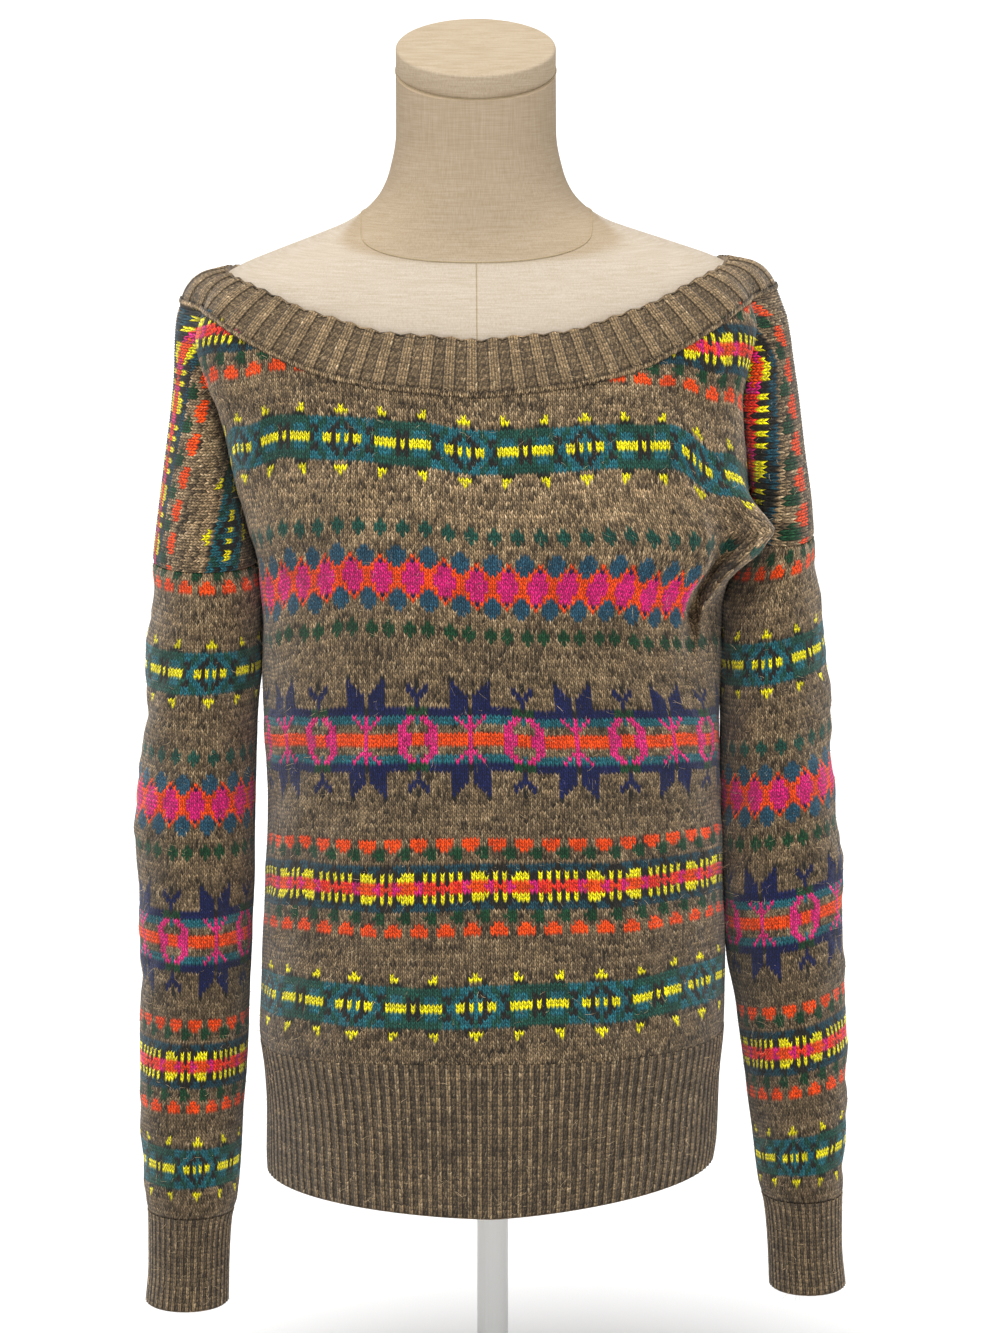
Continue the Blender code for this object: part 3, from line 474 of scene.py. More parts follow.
def knit(columns, courses, surface, outward, seed, yarn=ground_yarn, kept=None, relief=None, shade=None,
         zigzag=ZIGZAG, mottle=1.0, foot_shade=COURSE_PAINTED_SHADE):
    """A patch of stitches. surface(column, course) gives points; kept(column, course) says which stitches
    are there; yarn(column, course) gives a yarn key number."""
    (first, last), (low, high) = columns, courses
    sub = len(zigzag)
    rows, cells = high - low, (last - first) * sub
    steps = np.arange(cells + 1)
    course = np.arange(low, high + 1)[:, None] + zigzag[steps % sub]
    column = np.broadcast_to(first + steps / sub, course.shape)
    course = np.clip(course, low, high)
    inside = ((column > first) & (column < last) & (course > low) & (course < high)) * JITTER
    whole = np.rint(column * sub), np.rint(course * 2)
    aside, upward = (inside * (scattered(*pair, 0, seed) - 0.5) for pair in (whole, whole[::-1]))
    base = surface(column + aside, course + upward)
    normals, turn = grid_normals(base, outward)
    lift = relief(column, course) if relief else leg_of(RELIEF, column)
    points = (base + normals * lift[..., None]).reshape(-1, 3)
    k, j = np.meshgrid(first + np.arange(cells) // sub, low + np.arange(rows))
    leg = np.arange(cells) // 2 % (sub // 2)
    keys = yarn(k, j)
    # painted light and shade on the ground: lighter or darker by the level it lies at
    wool_and_painted_light_tone = np.where(keys == 0, np.interp(base[:-1, :-1, 2], PAINTED_LIGHT_LEVELS, PAINTED_LIGHT_TONES), 1)
    colours = heathered(keys, k, j, leg, seed, mottle) * wool_and_painted_light_tone[..., None]
    quads = quads_of(numbered(rows + 1, cells + 1))
    # painted shade in the furrows and at each stitch's foot, painted highlight on the legs
    shades = shade(column, course) if shade else leg_of(COLUMN_PAINTED_SHADE, column)
    shades = shades.ravel()[quads] * np.repeat(foot_shade, 2)
    colours = colours.reshape(-1, 1, 3) * shades[..., None]
    if turn < 0:
        quads, colours = quads[:, ::-1], colours[:, ::-1]
    if kept:
        keep = kept(k + 0.5, j + 0.5).ravel()
        quads, colours = quads[keep], colours[keep]
    uv = np.stack([(column - first) / (last - first), (course - low) / (high - low)], -1).reshape(-1, 2)
    return SimpleNamespace(points=points, quads=quads, colours=colours, uv=uv)


def join_patches(name, *patches):
    """One knitted object from several patches, side by side in its flat map."""
    starts = np.cumsum([0] + [len(patch.points) for patch in patches])
    quads = np.concatenate([patch.quads + start for patch, start in zip(patches, starts)])
    inner = 1 - 2 * UV_MARGIN
    uv = np.concatenate([(patch.uv * inner + UV_MARGIN + [number, 0]) / [len(patches), 1]
                         for number, patch in enumerate(patches)])
    points, colours = (np.concatenate([getattr(patch, what) for patch in patches])
                       for what in ("points", "colours"))
    return make_object(name, points, quads, colours, uv[quads])


# ---- charts
# A chart lists the courses of a band from its middle outwards. Each text is half a repeat: its first
# stitch is the middle of the motif, its last the middle of the next gap or motif.


def mirrored(half, period):
    return "".join(half[min(c, period - c)] for c in range(period))


def star_course(star, flower):
    """A whole repeat of 24 stitches from the half star and the half flower between two stars."""
    return "".join(star[min(c, 24 - c)] if min(c, 24 - c) <= 5 else flower[abs(c - 12)] for c in range(24))


def layer(courses, start, from_middle=0, doubled=False, way=0):
    """Some courses of a band. from_middle is the distance of the first from the band's middle; a doubled
    band has its middle between two courses; way is 1 above the middle only, -1 below it only, 0 both."""
    rows = [np.array([YARN_KEYS.index(letter) for letter in text]) for text in courses]

    def draw(k, j, out):
        above = j >= 0
        distance = np.where(above, j, -j - 1) if doubled else np.abs(j)
        here = above if way > 0 else ~above if way < 0 else True
        for number, keys in enumerate(rows):
            inked = keys[(k - start) % len(keys)]
            out = np.where(here & (distance == from_middle + number) & (inked > 0), inked, out)
        return out
    return draw


MIDDLE_COLUMN = -4
LOZENGE = [mirrored(half, 28) for half in (
    "TYKYYTTKYYYYYKY",
    "TTKKTTKDDTTTDKK",
    "TKKTTDKKDTTTDKD",
    "DKTTDDTTDDDDDDD",
    "DTTTDTTTDDDDDDD",
    "..K......KKK...",
    "YY.......YY....",
    "Y........Y.....")]
STAR = [star_course(*halves.split()) for halves in (
    "POOOOO OOMPPOO",
    "POOOOO OOMPPOO",
    "P..... ...PP..",
    "PP.... ...PP..",
    "PTPTTT T.PPTTT",
    "PTTPTT TPPTTTT",
    "KNNNNN GGGNNNN",
    "KNNNNN KGGNNNN",
    ".NNNN. N......",
    ".NNNN. N......",
    ".NNNN. NN.....",
    "..NNN. .NN....",
    "...NN. K.N....",
    "....N. K......",
    "....K. .......")]
EMBER = [mirrored(half, 26) for half in (
    "VOMMOOOOMVVOVV",
    "KVMOOOOMMVVVKV",
    "KYKYYYYKKYKYKY",
    "KYKKYYYKKYKYKY",
    "KKKEEKKEEKEEKK",
    "KKEEEKEEEEEEEK")]
TRIANGLES = ["....GG", "...GGG", ".OO.GG", "OOOO..", "OOOO.."]
LOWER_TRIANGLES = ["....GG", "...GGG", "....GG", ".OO...", "OOOO..", "OOOO.."]
DIAMOND = [mirrored(half, 7) for half in ("MMMO", "MMMO", "MMOO", "MMOB", "NOBB", "O.BB", "..BB", "...B")]
UPPER_DOTS = [".D...", "DDD..", "DDD..", ".D..."]
LOWER_DOTS = [".G...G...", "GGG.GGG..", "GGG.GGG..", ".G...G..."]
EMBER_FOOT = layer(LOWER_TRIANGLES, 0, 6, way=-1)
BANDS = {
    "lozenge": [layer(LOZENGE, MIDDLE_COLUMN, doubled=True)],
    "star": [layer(STAR, MIDDLE_COLUMN)],
    "ember": [layer(EMBER, 2), layer(TRIANGLES, 0, 7, way=1), EMBER_FOOT],
    "ember_foot": [EMBER_FOOT],
    "diamond": [layer(DIAMOND, 5), layer(UPPER_DOTS, 1, 10, way=1), layer(LOWER_DOTS, 0, 10, way=-1)]}
BAND_ORDER = ("lozenge", "ember", "star", "diamond", "lozenge", "ember")
# The bands with their middle courses, above the hem joint and above the cuff joints.
BODY_BANDS = tuple(zip(BAND_ORDER, (14, 42, 77, 113, 144, 171)))
SLEEVE_BANDS = {
    "left": tuple(zip(BAND_ORDER, (13, 38, 69, 102, 134, 164))),
    "right": tuple(zip(BAND_ORDER[:-1] + ("ember_foot",), (12, 38, 70, 101, 133, 164)))}


def banded(bands):
    """The yarn of a stitch, from the bands placed at their middle courses."""
    def yarn(k, j):
        out = ground_yarn(k, j)
        for name, middle in bands:
            for draw in BANDS[name]:
                out = draw(k, j - middle, out)
        return out
    return yarn


# ---- materials
class Finish:
    """A material under way. Its nodes take numbers, or the outputs of other nodes, at their inputs."""

    def __init__(self, name):
        self.material = bpy.data.materials.new(name)
        self.material.use_nodes = True
        self.tree = self.material.node_tree

    def fill(self, node, inputs):
        for key, value in inputs.items():
            if isinstance(value, bpy.types.NodeSocket):
                self.tree.links.new(value, node.inputs[key])
            else:
                node.inputs[key].default_value = value
        return node

    def add(self, kind, inputs, **settings):
        made = self.tree.nodes.new("ShaderNode" + kind)
        for name, setting in settings.items():
            setattr(made, name, setting)
        return self.fill(made, inputs)

    def place(self):
        return self.add("TexCoord", {}).outputs["Object"]

    def noise(self, scale, detail, place):
        return self.add("TexNoise", {"Scale": scale, "Detail": detail, "Vector": place}).outputs["Fac"]

    def math(self, operation, first, second):
        return self.add("Math", {0: first, 1: second}, operation=operation).outputs["Value"]

    def ranged(self, value, low, high, to_low, to_high, **settings):
        limits = {"Value": value, "From Min": low, "From Max": high, "To Min": to_low, "To Max": to_high}
        return self.add("MapRange", limits, **settings).outputs["Result"]

    def bump(self, height, strength, distance):
        inputs = {"Height": height, "Strength": strength, "Distance": distance}
        return self.add("Bump", inputs).outputs["Normal"]

    def done(self, inputs):
        self.fill(self.tree.nodes["Principled BSDF"], inputs)
        return self.material


def wool_material(name):
    """Yarn colour from the stitches, with the stitches' painted shade and light, mottled with fibres, matt
    and softly napped.
    """
    wool = Finish(name)
    place = wool.place()
    fibres = wool.noise(900, 3, place)
    mottle = wool.math("MULTIPLY", wool.ranged(fibres, 0.3, 0.7, 0.34, 1.78),
                       wool.ranged(wool.noise(70, 2, place), 0.3, 0.7, 0.84, 1.18))
    # the yarn colours hold the stitches' painted shade and light as well as the yarn's own colour
    yarn = wool.add("Attribute", {}, attribute_name="yarn").outputs["Color"]
    tint = wool.add("VectorMath", {0: yarn, "Scale": mottle}, operation="SCALE").outputs["Vector"]
    return wool.done({"Base Color": tint, "Normal": wool.bump(fibres, 0.55, 0.0006), "Roughness": 0.93,
                      "Sheen Weight": 0.20, "Sheen Roughness": 0.6, "Specular IOR Level": 0.15})


NECK_SEAM = {"front": 0.846, "back": 0.880}  # levels of the seam at the foot of the neck
NECK_SEAM_SIDE = 0.873
NECK_PAINTED_SHADE = (0.80, 0.73, 0.63, 1)  # painted shade: the upright neck under the cap is darker than the torso
NECK_SHADE_EDGE = 0.003
THREADS = ((1500, 1500, 60), (60, 60, 1500))  # the scales of warp and weft
PAINT_WHITE, STAGE_WHITE = (0.74, 0.74, 0.73, 1), (0.98, 0.98, 0.98, 1)


def neck_shade_share(linen, place):
    """Where the neck's painted shade lies: 0 below the seam at the foot of the neck, 1 above it."""
    parts = linen.add("SeparateXYZ", {"Vector": place}).outputs
    slopes = []
    for face in FACES:
        depth = FACING[face] * float(FORM(face, NECK_SEAM[face]))
        slopes.append(linen.math("MULTIPLY", parts["Y"], (NECK_SEAM[face] - NECK_SEAM_SIDE) / depth))
    above = linen.math("SUBTRACT", parts["Z"], linen.math("MINIMUM", *slopes))
    return linen.ranged(above, NECK_SEAM_SIDE - NECK_SHADE_EDGE, NECK_SEAM_SIDE + NECK_SHADE_EDGE, 0, 1,
                        interpolation_type="SMOOTHSTEP")


def linen_material(name, light, dark, neck_shaded=False):
    """Plain woven linen: crossing threads, slubs and a soft mottle, with painted shade on the neck above its
    seam where asked.
    """
    linen = Finish(name)
    place = linen.place()
    threads = (linen.add("Mapping", {"Vector": place, "Scale": scale}) for scale in THREADS)
    weave = linen.math("ADD", *(linen.noise(1, 2, thread.outputs["Vector"]) for thread in threads))
    ramp = linen.add("ValToRGB", {"Fac": linen.math("MULTIPLY", weave, 0.5)})
    for stop, position, shade in zip(ramp.color_ramp.elements, (0.30, 0.72), (dark, light)):
        stop.position = position
        stop.color = (*linear(shade) * DEPTH, 1)
    colour = ramp.outputs["Color"]
    # painted shade on the neck, above the seam at its foot
    if neck_shaded:
        neck_shade_mix = linen.add("Mix", {}, data_type="RGBA", blend_type="MULTIPLY")
        linen.fill(neck_shade_mix, {0: neck_shade_share(linen, place), 6: colour, 7: NECK_PAINTED_SHADE})
        colour = neck_shade_mix.outputs[2]
    return linen.done({"Base Color": colour, "Normal": linen.bump(weave, 0.25, 0.0004), "Roughness": 0.88,
                       "Specular IOR Level": 0.2})


def paint_material(name):
    """White satin paint on steel, with a faint orange-peel."""
    paint = Finish(name)
    peel = paint.add("TexNoise", {"Scale": 350}).outputs["Fac"]
    bump = paint.bump(peel, 0.05, 0.0003)
    return paint.done({"Base Color": PAINT_WHITE, "Normal": bump, "Roughness": 0.42})


WOOL = wool_material("heather_wool")
LINEN = linen_material("linen", "e4d7c7", "c7b69d", neck_shaded=True)
CAP_LINEN = linen_material("cap_linen", "dccab0", "bca688")
SEAM_LINEN = linen_material("seam_linen", "cbb896", "ae9a79")
PAINT = paint_material("white_paint")


# ---- the jumper
def outward_y(face):
    return lambda points: np.array([0.0, FACING[face], 0.0])


def outward_round(centre_x):
    return lambda points: points * [1, 1, 0] - [centre_x, 0, 0]


SEWN_DIP, KNIT_ON_DIP = 0.0012, 0.0003  # how far cloth turns in at a seam, and where it is knitted on
SEAM_REACH, CALM_REACH = 0.0045, 0.020
TUCK, TUCK_IN = 0.0030, 0.0022  # the panel runs up under the neckband, and ends behind it
HEM_UNDER = 0.0010  # the rib's top lies this far up behind the panel's edge
HEM_SETTLE = 0.030  # over this height the courses settle to the line of the hem rib's joint
TUCKED_COLUMN, TUCKED_COURSES = 55, (105, 121)  # stitches that lie hidden in the crease
WIDE_PULL, WIDE_REACH = 0.45, 0.13
PANEL_LOW, PANEL_HIGH, PANEL_NECK = 0.28, 0.84, 0.78  # the levels a panel is read between, and by its neck
SIDE_CALM, SLEEVE_CALM = 0.85, 0.15  # cloth lies more even by the side seam and a sleeve's inner line


def seam_dip(distance, depth):
    return depth * within(1 - distance / SEAM_REACH) ** 2


def calm(distance):
    """0 at a seam, growing smoothly to 1: the cloth lies even beside its seams."""
    return smooth(within(distance / CALM_REACH))


def soften(points, outward, share, dip):
    """Add a share of the cloth's unevenness along the surface's own normal, and turn it in at its seams."""
    normals, _ = grid_normals(points, outward)
    return points + normals * (unevenness(points) * share - dip)[..., None]


def across_body(place):
    return quadrant(place, FORM_POWER)[0]


def hem_joint_level(side, place):
    return HEM_JOINT_LEVEL - HEM_JOINT_DROP[side] * across_body(place) ** 2


def chest_stretched(side, face, level, place):
    """The chest as its stitches are shared out: those in the crease and behind it are pulled wide."""
    points = chest_at(side, face, level, place, 0.0)
    if side == "right" and face == "front":
        edge = chest_at(side, face, level, 0 * place + CREASE_PLACE, 0.0)
        pull = (1 - WIDE_PULL * hump(level - CREASE_LEVEL, WIDE_REACH))[..., None]
        points = np.where((place > CREASE_PLACE)[..., None], edge + (points - edge) * pull, points)
    return points


def build_panel(face):
    wales = QUARTER_WALES[face]
    girths = {side: Girth(chest_at, side, face, PANEL_LOW, PANEL_HIGH, chest_stretched) for side in SIDES}
    shares = evenly(60)
    along = np.concatenate([-shares[::-1], shares[1:]])

    def line_along(level, height_at):
        """A height by share, from the left side to the right."""
        left, right = (height_at(side, girths[side].place(level + 0 * shares, shares)) for side in SIDES)
        return np.concatenate([left[::-1], right[1:]])

    tops = line_along(PANEL_NECK, lambda side, place: neck_level(chest_at, side, face, place, "lower"))
    feet = line_along(HEM_JOINT_LEVEL, hem_joint_level)

    def level_of(column, course):
        share = column / wales
        rise = course * COURSE
        settle = within(1 - rise / HEM_SETTLE)
        level = course_level(rise, share)
        level += (np.interp(share, along, feet) - course_level(0 * rise, share)) * settle
        return share, level, np.interp(share, along, tops) + TUCK

    def surface(column, course):
        share, level, top = level_of(column, course)
        level = np.minimum(level, top)
        left = girths["left"].points(level, within(-share))
        right = girths["right"].points(level, within(share))
        points = np.where((share < 0)[..., None], left, right)
        tuck = within((level - top + 2 * TUCK) / (2 * TUCK)) ** 2 * TUCK_IN
        from_joint = level - np.interp(share, along, feet)
        even = calm(from_joint) * calm(top - level) * (1 - SIDE_CALM * within(np.abs(share)) ** 6)
        points = soften(points, outward_y(face), even, seam_dip(from_joint, KNIT_ON_DIP))
        points[..., 1] -= FACING[face] * tuck
        return points

    def kept(column, course):
        _, level, top = level_of(column, course)
        return level < top + 0.6 * COURSE

    def yarn(k, j):
        """The diamonds' middle courses lie hidden in the crease beside the right armhole."""
        hidden = (k >= TUCKED_COLUMN) & (j >= TUCKED_COURSES[0]) & (j <= TUCKED_COURSES[1])
        return np.where(hidden & (face == "front"), 0, banded(BODY_BANDS)(k, j))

    chest = knit((-wales, wales), (0, PANEL_COURSES), surface, outward_y(face), PANEL_SEED[face], yarn, kept)
    made = [join_patches(face + "_knit", chest)]
    return made + [join_patches(face + "_shoulder_" + side, build_lobe(side, face)) for side in SIDES]


SHOULDER_RISE = {"left": 0.5245, "right": 0.556}  # rise of the course that runs along the arm's outer line
VALLEY_RISE = {"left": 0.0, "right": 0.499}  # lower courses than this lie hidden in the valley
LOBE_TOP, LOBE_LOWEST_RISE, NARROWEST = 0.835, 0.34, 0.012
LOBE_RISES, LOBE_SHARES = np.linspace(0.30, 0.62, 200), (-0.02, 1.0354)
LOBE_MIDDLE = 114  # the level of the armhole seam falls at this stitch of the bands' repeats


def build_lobe(side, face):
    """A hanging shoulder. Its courses run down the arm, and its stitches lie across."""
    foot, last = ARMHOLE_LEVEL[side], SHOULDER_RISE[side]
    girth = Girth(arm_at, side, face, foot - 0.002, LOBE_TOP)
    corner_levels = np.maximum.accumulate(course_level(LOBE_RISES, 0 * LOBE_RISES + SIGN[side]))
    shares = evenly(40)
    tops = neck_level(arm_at, side, face, girth.place(0 * shares + NEAR_NECK, shares), "lower")

    def share_of(column, course):
        level = foot + column * WALE
        corner = np.maximum(np.interp(level, corner_levels, LOBE_RISES), VALLEY_RISE[side])
        share = (last - course * COURSE) / np.maximum(last - corner, NARROWEST)
        return level, share, np.interp(within(share), shares, tops) + TUCK

    def surface(column, course):
        level, share, top = share_of(column, course)
        level = np.minimum(level, top)
        points = girth.points(level, within(share))
        normals, _ = grid_normals(points, outward_y(face))
        return points - normals * seam_dip(level - foot, SEWN_DIP)[..., None]

    def kept(column, course):
        level, share, top = share_of(column, course)
        return (share > LOBE_SHARES[0]) & (share < LOBE_SHARES[1]) & (level < top + 0.5 * WALE)

    def yarn(k, j):
        return banded(BODY_BANDS)(LOBE_MIDDLE - k, j)

    courses = (int(LOBE_LOWEST_RISE / COURSE), int(last / COURSE) + 1)
    return knit((0, int((LOBE_TOP - foot) / WALE)), courses, surface, outward_y(face), 11, yarn, kept)


# Painted shade of the ribs: darker in the purl furrows and at the ribs' borders, with a painted highlight on
# the crests.
HEM_FURROW_PAINTED_SHADE, NECK_FURROW_PAINTED_SHADE, BORDER_PAINTED_SHADE, CREST_PAINTED_LIGHT = 0.46, 0.60, 0.22, 1.24
RIB_COURSE_PAINTED_SHADE = (0.58, 1.32)
PURL_BUMP, PURL_BUMP_PAINTED_SHADE = 0.00020, 0.42  # how far the purl side's bumps stand out, and their painted light and shade
RIB_RELIEF, RIB_ZIGZAG = 0.7, 0.45  # of the plain knit's
HEM_COURSES, CUFF_COURSES, NECK_COURSES = 37, 23, 13
SLEEVE_TILT = {"left": 0.000, "right": 0.0075}  # the courses rise this far towards the outer side
TILT_REACH = 0.050  # and settle level over this distance from the cuff
SLEEVE_CENTRE, CUFF_CENTRE, NECK_CENTRE = 0.21, 0.217, -0.01


def build_sleeve(side):
    low, high = CUFF_JOINT_LEVEL[side], ARMHOLE_LEVEL[side]
    courses = int(round((high - low) / COURSE))
    read = tube_reader(side, low - 0.01, high + 0.001, 90)
    outward = outward_round(SIGN[side] * SLEEVE_CENTRE)

    def level_of(column, course):
        rise = (high - low) * course / courses
        tilt = -np.cos(column / SLEEVE_WALES * 2 * pi) * SLEEVE_TILT[side]
        return low + rise + tilt * within(rise / TILT_REACH)

    def surface(column, course):
        level = level_of(column, course)
        points = read(column / SLEEVE_WALES, np.minimum(level, high))
        dip = seam_dip(level - low, KNIT_ON_DIP) + seam_dip(high - level, SEWN_DIP)
        inner = np.abs((column / SLEEVE_WALES + 0.5) % 1 - 0.5)
        even = calm(level - low) * calm(high - level) * within(SLEEVE_CALM + inner / SLEEVE_CALM)
        return soften(points, outward, even, dip)

    def kept(column, course):
        return level_of(column, course) < high + 0.4 * COURSE

    courses_built = courses + int(np.ceil(SLEEVE_TILT[side] / COURSE))
    yarn = banded(SLEEVE_BANDS[side])
    cloth = knit((0, SLEEVE_WALES), (0, courses_built), surface, outward, 21, yarn, kept)
    return join_patches("sleeve_" + side + "_knit", cloth)


def ribbed(read, ribs, half_width, courses, outward, seed, furrow_painted_shade, raise_by=0.0010, mottle=0.60):
    """A ribbed tube. read(share round, share up) gives points; as many knit as purl columns alternate."""
    width = 2 * half_width

    def ridge(column):
        distance = np.abs((column % width - half_width / 2 + half_width) % width - half_width)
        return within((half_width / 2 + 0.25 - distance) / 0.5)

    def relief(column, course):
        crest = ridge(column)
        bumps = PURL_BUMP * np.cos(course * 2 * pi)
        legs = leg_of(RELIEF, column) * RIB_RELIEF
        return (crest * 2 - 1) * raise_by / 2 + crest * legs + (1 - crest) * bumps

    # painted shade in the purl furrows and at the ribs' borders, painted highlight on the crests
    def shade(column, course):
        crest = ridge(column)
        turns = np.rint(course) + np.rint(column * 2)
        purl_bump_painted_shade = furrow_painted_shade * (1 + PURL_BUMP_PAINTED_SHADE * np.cos(turns * pi))
        border_painted_shade = np.where(np.abs(crest - 0.5) < 0.3, BORDER_PAINTED_SHADE, 1.0)
        return (crest * CREST_PAINTED_LIGHT * leg_of(COLUMN_PAINTED_SHADE, column) + (1 - crest) * purl_bump_painted_shade) * border_painted_shade

    def surface(column, course):
        return read(column / (ribs * width), course / courses)

    return knit((0, ribs * width), (0, courses), surface, outward, seed, relief=relief, shade=shade,
                zigzag=ZIGZAG * RIB_ZIGZAG, mottle=mottle, foot_shade=RIB_COURSE_PAINTED_SHADE)


# The way round a turned edge: how far back along the tube from its end, and how far in from its face.
TURN = ((0.0, 0.0), (-0.0007, 0.0007), (-0.0007, 0.0019), (0.0, 0.0026), (0.006, 0.0027), (0.014, 0.0027))
TURN_SHADE = 0.7  # its yarn lies in the rim's own shadow


def turned_edge(read, share_up, inward, columns, seed):
    """The rolled end of a ribbed tube: round the edge and a little way up inside."""
    share = evenly(columns + 1)
    base = read(share, share_up + 0 * share)
    ahead = np.roll(base, -1, axis=0) - np.roll(base, 1, axis=0)
    ahead[0] = ahead[-1] = base[1] - base[-2]
    side = unit(np.stack([ahead[:, 1], -ahead[:, 0], np.zeros(len(ahead))], -1))
    side *= np.sign(((base - base.mean(axis=0)) * side).sum())
    rows = np.array([base - side * depth + [0, 0, up * inward] for up, depth in TURN])
    normal = np.cross(rows[0, 1] - rows[0, 0], rows[1, 0] - rows[0, 0])
    quads = quads_of(numbered(*rows.shape[:2]))[:, ::1 if np.dot(normal, side[0]) > 0 else -1]
    k, j = np.meshgrid(np.arange(columns), np.arange(len(TURN) - 1))
    colours = heathered(ground_yarn(k, j), k, j, 0, seed) * TURN_SHADE
    uv = np.stack(np.meshgrid(share, evenly(len(TURN))), -1).reshape(-1, 2)
    return SimpleNamespace(points=rows.reshape(-1, 3), quads=quads, uv=uv,
                           colours=np.repeat(colours.reshape(-1, 1, 3), 4, axis=1))


QUARTER_POINTS = 161  # along a quarter of the hem or the neckband, as it is measured
NECK_RIB_POINTS = 8  # along each rib of the neckband


def from_back(ring, to_back):
    """The same ring, started and closed at the middle of the back."""
    ring = np.roll(ring, -to_back, axis=0)
    return np.concatenate([ring, ring[:1]])


def build_hem():
    def ring(up):
        def line(side, face):
            places = evenly(QUARTER_POINTS)
            top = hem_joint_level(side, places) + HEM_UNDER
            foot = HEM_LEVEL + HEM_RISE[side] * across_body(places) ** HEM_RISE_POWER
            return even_line(chest_at(side, face, foot + (top - foot) * up, places), HEM_RIBS + 1)
        return from_back(round_body(line), 2 * HEM_RIBS)

    read = ring_reader([ring(up) for up in evenly(12)])
    rib = ribbed(read, HEM_RIBS, 1, HEM_COURSES, outward_round(0.0), 31, HEM_FURROW_PAINTED_SHADE)
    return join_patches("hem_rib_knit", rib, turned_edge(read, 0.0, 1.0, HEM_RIBS * 2, 32))


def build_cuff(side):
    low, high = CUFF_END_LEVEL[side], CUFF_JOINT_LEVEL[side]
    tube = tube_reader(side, low - 0.002, high + 0.002, 12)

    def read(share, up):
        return tube(share, low + (high - low) * up)

    outward = outward_round(SIGN[side] * CUFF_CENTRE)
    rib = ribbed(read, CUFF_RIBS, 1, CUFF_COURSES, outward, 41, HEM_FURROW_PAINTED_SHADE, raise_by=0.0009)
    return join_patches("cuff_" + side + "_knit", rib, turned_edge(read, 0.0, 1.0, CUFF_RIBS * 2, 42))


def neck_quarter(side, face):
    """The upper edge of the neckband, the way from it to the lower edge, and the bulge between them."""
    columns = NECK_RIBS[face] * NECK_RIB_POINTS
    places = evenly(QUARTER_POINTS)
    level = neck_level(form_at, side, face, places, "upper")
    small = 1e-3
    up = form_at(side, face, level + small, places) - form_at(side, face, level - small, places)
    near, far = (np.clip(places + step, 1e-4, 1 - 1e-4) for step in (-small, small))
    normal = unit(np.cross(up, form_at(side, face, level, far) - form_at(side, face, level, near)))
    high = form_at(side, face, level, places)
    outward = high * [1, 1, 0] - LEAN("shift", level)[:, None] * [1, 0, 0]
    normal *= np.sign((normal * outward).sum(axis=1))[:, None]
    high = even_line(high + normal * (SEAT + WALL), columns + 1)
    low = chest_at(side, face, neck_level(chest_at, side, face, places, "lower"), places)
    arm_places = np.linspace(1, 0, 61)[1:]
    arm_level = neck_level(arm_at, side, face, arm_places, "lower")
    low = even_line(np.concatenate([low, arm_at(side, face, arm_level, arm_places)]), columns + 1)
    t = evenly(columns + 1)[:, None]
    bulge = NECK_BULGE_MIDDLE + (NECK_BULGE_SIDE - NECK_BULGE_MIDDLE) * t ** 4
    out = unit(np.cross(low - high, np.gradient(high, axis=0)))
    out *= np.sign((out * (high * [1, 1, 0] + [0, 0, 0.2])).sum(axis=1))[:, None]
    return high, low - high, out * bulge * 4


def neck_rings():
    """Rings of the neckband from its lower edge up, as in the solids."""
    quarters = {(side, face): neck_quarter(side, face) for side, face, _ in QUARTERS}

    def ring(share):
        def line(side, face):
            high, way, bulge = quarters[side, face]
            return high + way * share + bulge * share * (1 - share)
        return from_back(round_body(line), NECK_RIB_POINTS * sum(NECK_RIBS.values()))
    return [ring(share) for share in np.linspace(1, 0, 9)]


CHAIN_STITCHES, CHAIN_HEIGHT, CHAIN_PROUD = 320, 0.0026, 0.0012
CHAIN_PAINTED_SHADE, CHAIN_NARROW = (0.08, 1.8), 1.5  # least painted shade, what the crest's painted highlight adds, how narrow the crest is
CHAIN_CLEAR, CHAIN_UP = 0.0006, 0.012  # its edges stand out of the band, this share of it up
SCALLOP, SCALLOP_REACH = 0.0008, 0.15  # the ribs' ends stand this far up, over this share of the band


def build_chain(read):
    """The raised row of stitches that joins the neckband to the panels."""
    def surface(column, course):
        share = column / CHAIN_STITCHES
        points = read(share, 0 * share + CHAIN_UP)
        away = unit(points * [1, 1, 0] - [NECK_CENTRE, 0, 0])
        height = course / 2 - 0.5
        points = points + away * (CHAIN_CLEAR + CHAIN_PROUD * (1 - 2 * np.abs(height)))[..., None]
        points[..., 2] += height * CHAIN_HEIGHT * 2
        return points

    def shade(column, course):
        """Painted shade where it turns in at its edges, painted highlight on its crest."""
        crest = within(1 - CHAIN_NARROW * np.abs(course - 1))
        return CHAIN_PAINTED_SHADE[0] + CHAIN_PAINTED_SHADE[1] * crest * leg_of(COLUMN_PAINTED_SHADE, column) ** 0.7
    return knit((0, CHAIN_STITCHES), (0, 2), surface, outward_round(NECK_CENTRE), 61, shade=shade,
                foot_shade=(1.0, 1.0))


def build_neckband():
    smooth_band = ring_reader(neck_rings())
    ribs = 2 * sum(NECK_RIBS.values())

    def read(share, up):
        """The band, with its upper edge drawn up at each rib and down between two."""
        points = smooth_band(share, up)
        swell = np.cos((share * ribs - 0.25) * 2 * pi) + 0.5 * np.sin(share * ribs * 1.37)
        points[..., 2] += swell * within((up - 1 + SCALLOP_REACH) / SCALLOP_REACH) * SCALLOP
        return points

    outward = outward_round(NECK_CENTRE)
    rib = ribbed(read, ribs, 2, NECK_COURSES, outward, 51, NECK_FURROW_PAINTED_SHADE, raise_by=0.0013, mottle=0.35)
    return join_patches("neckband_knit", rib, turned_edge(read, 1.0, -1.0, ribs * 4, 52), build_chain(read))


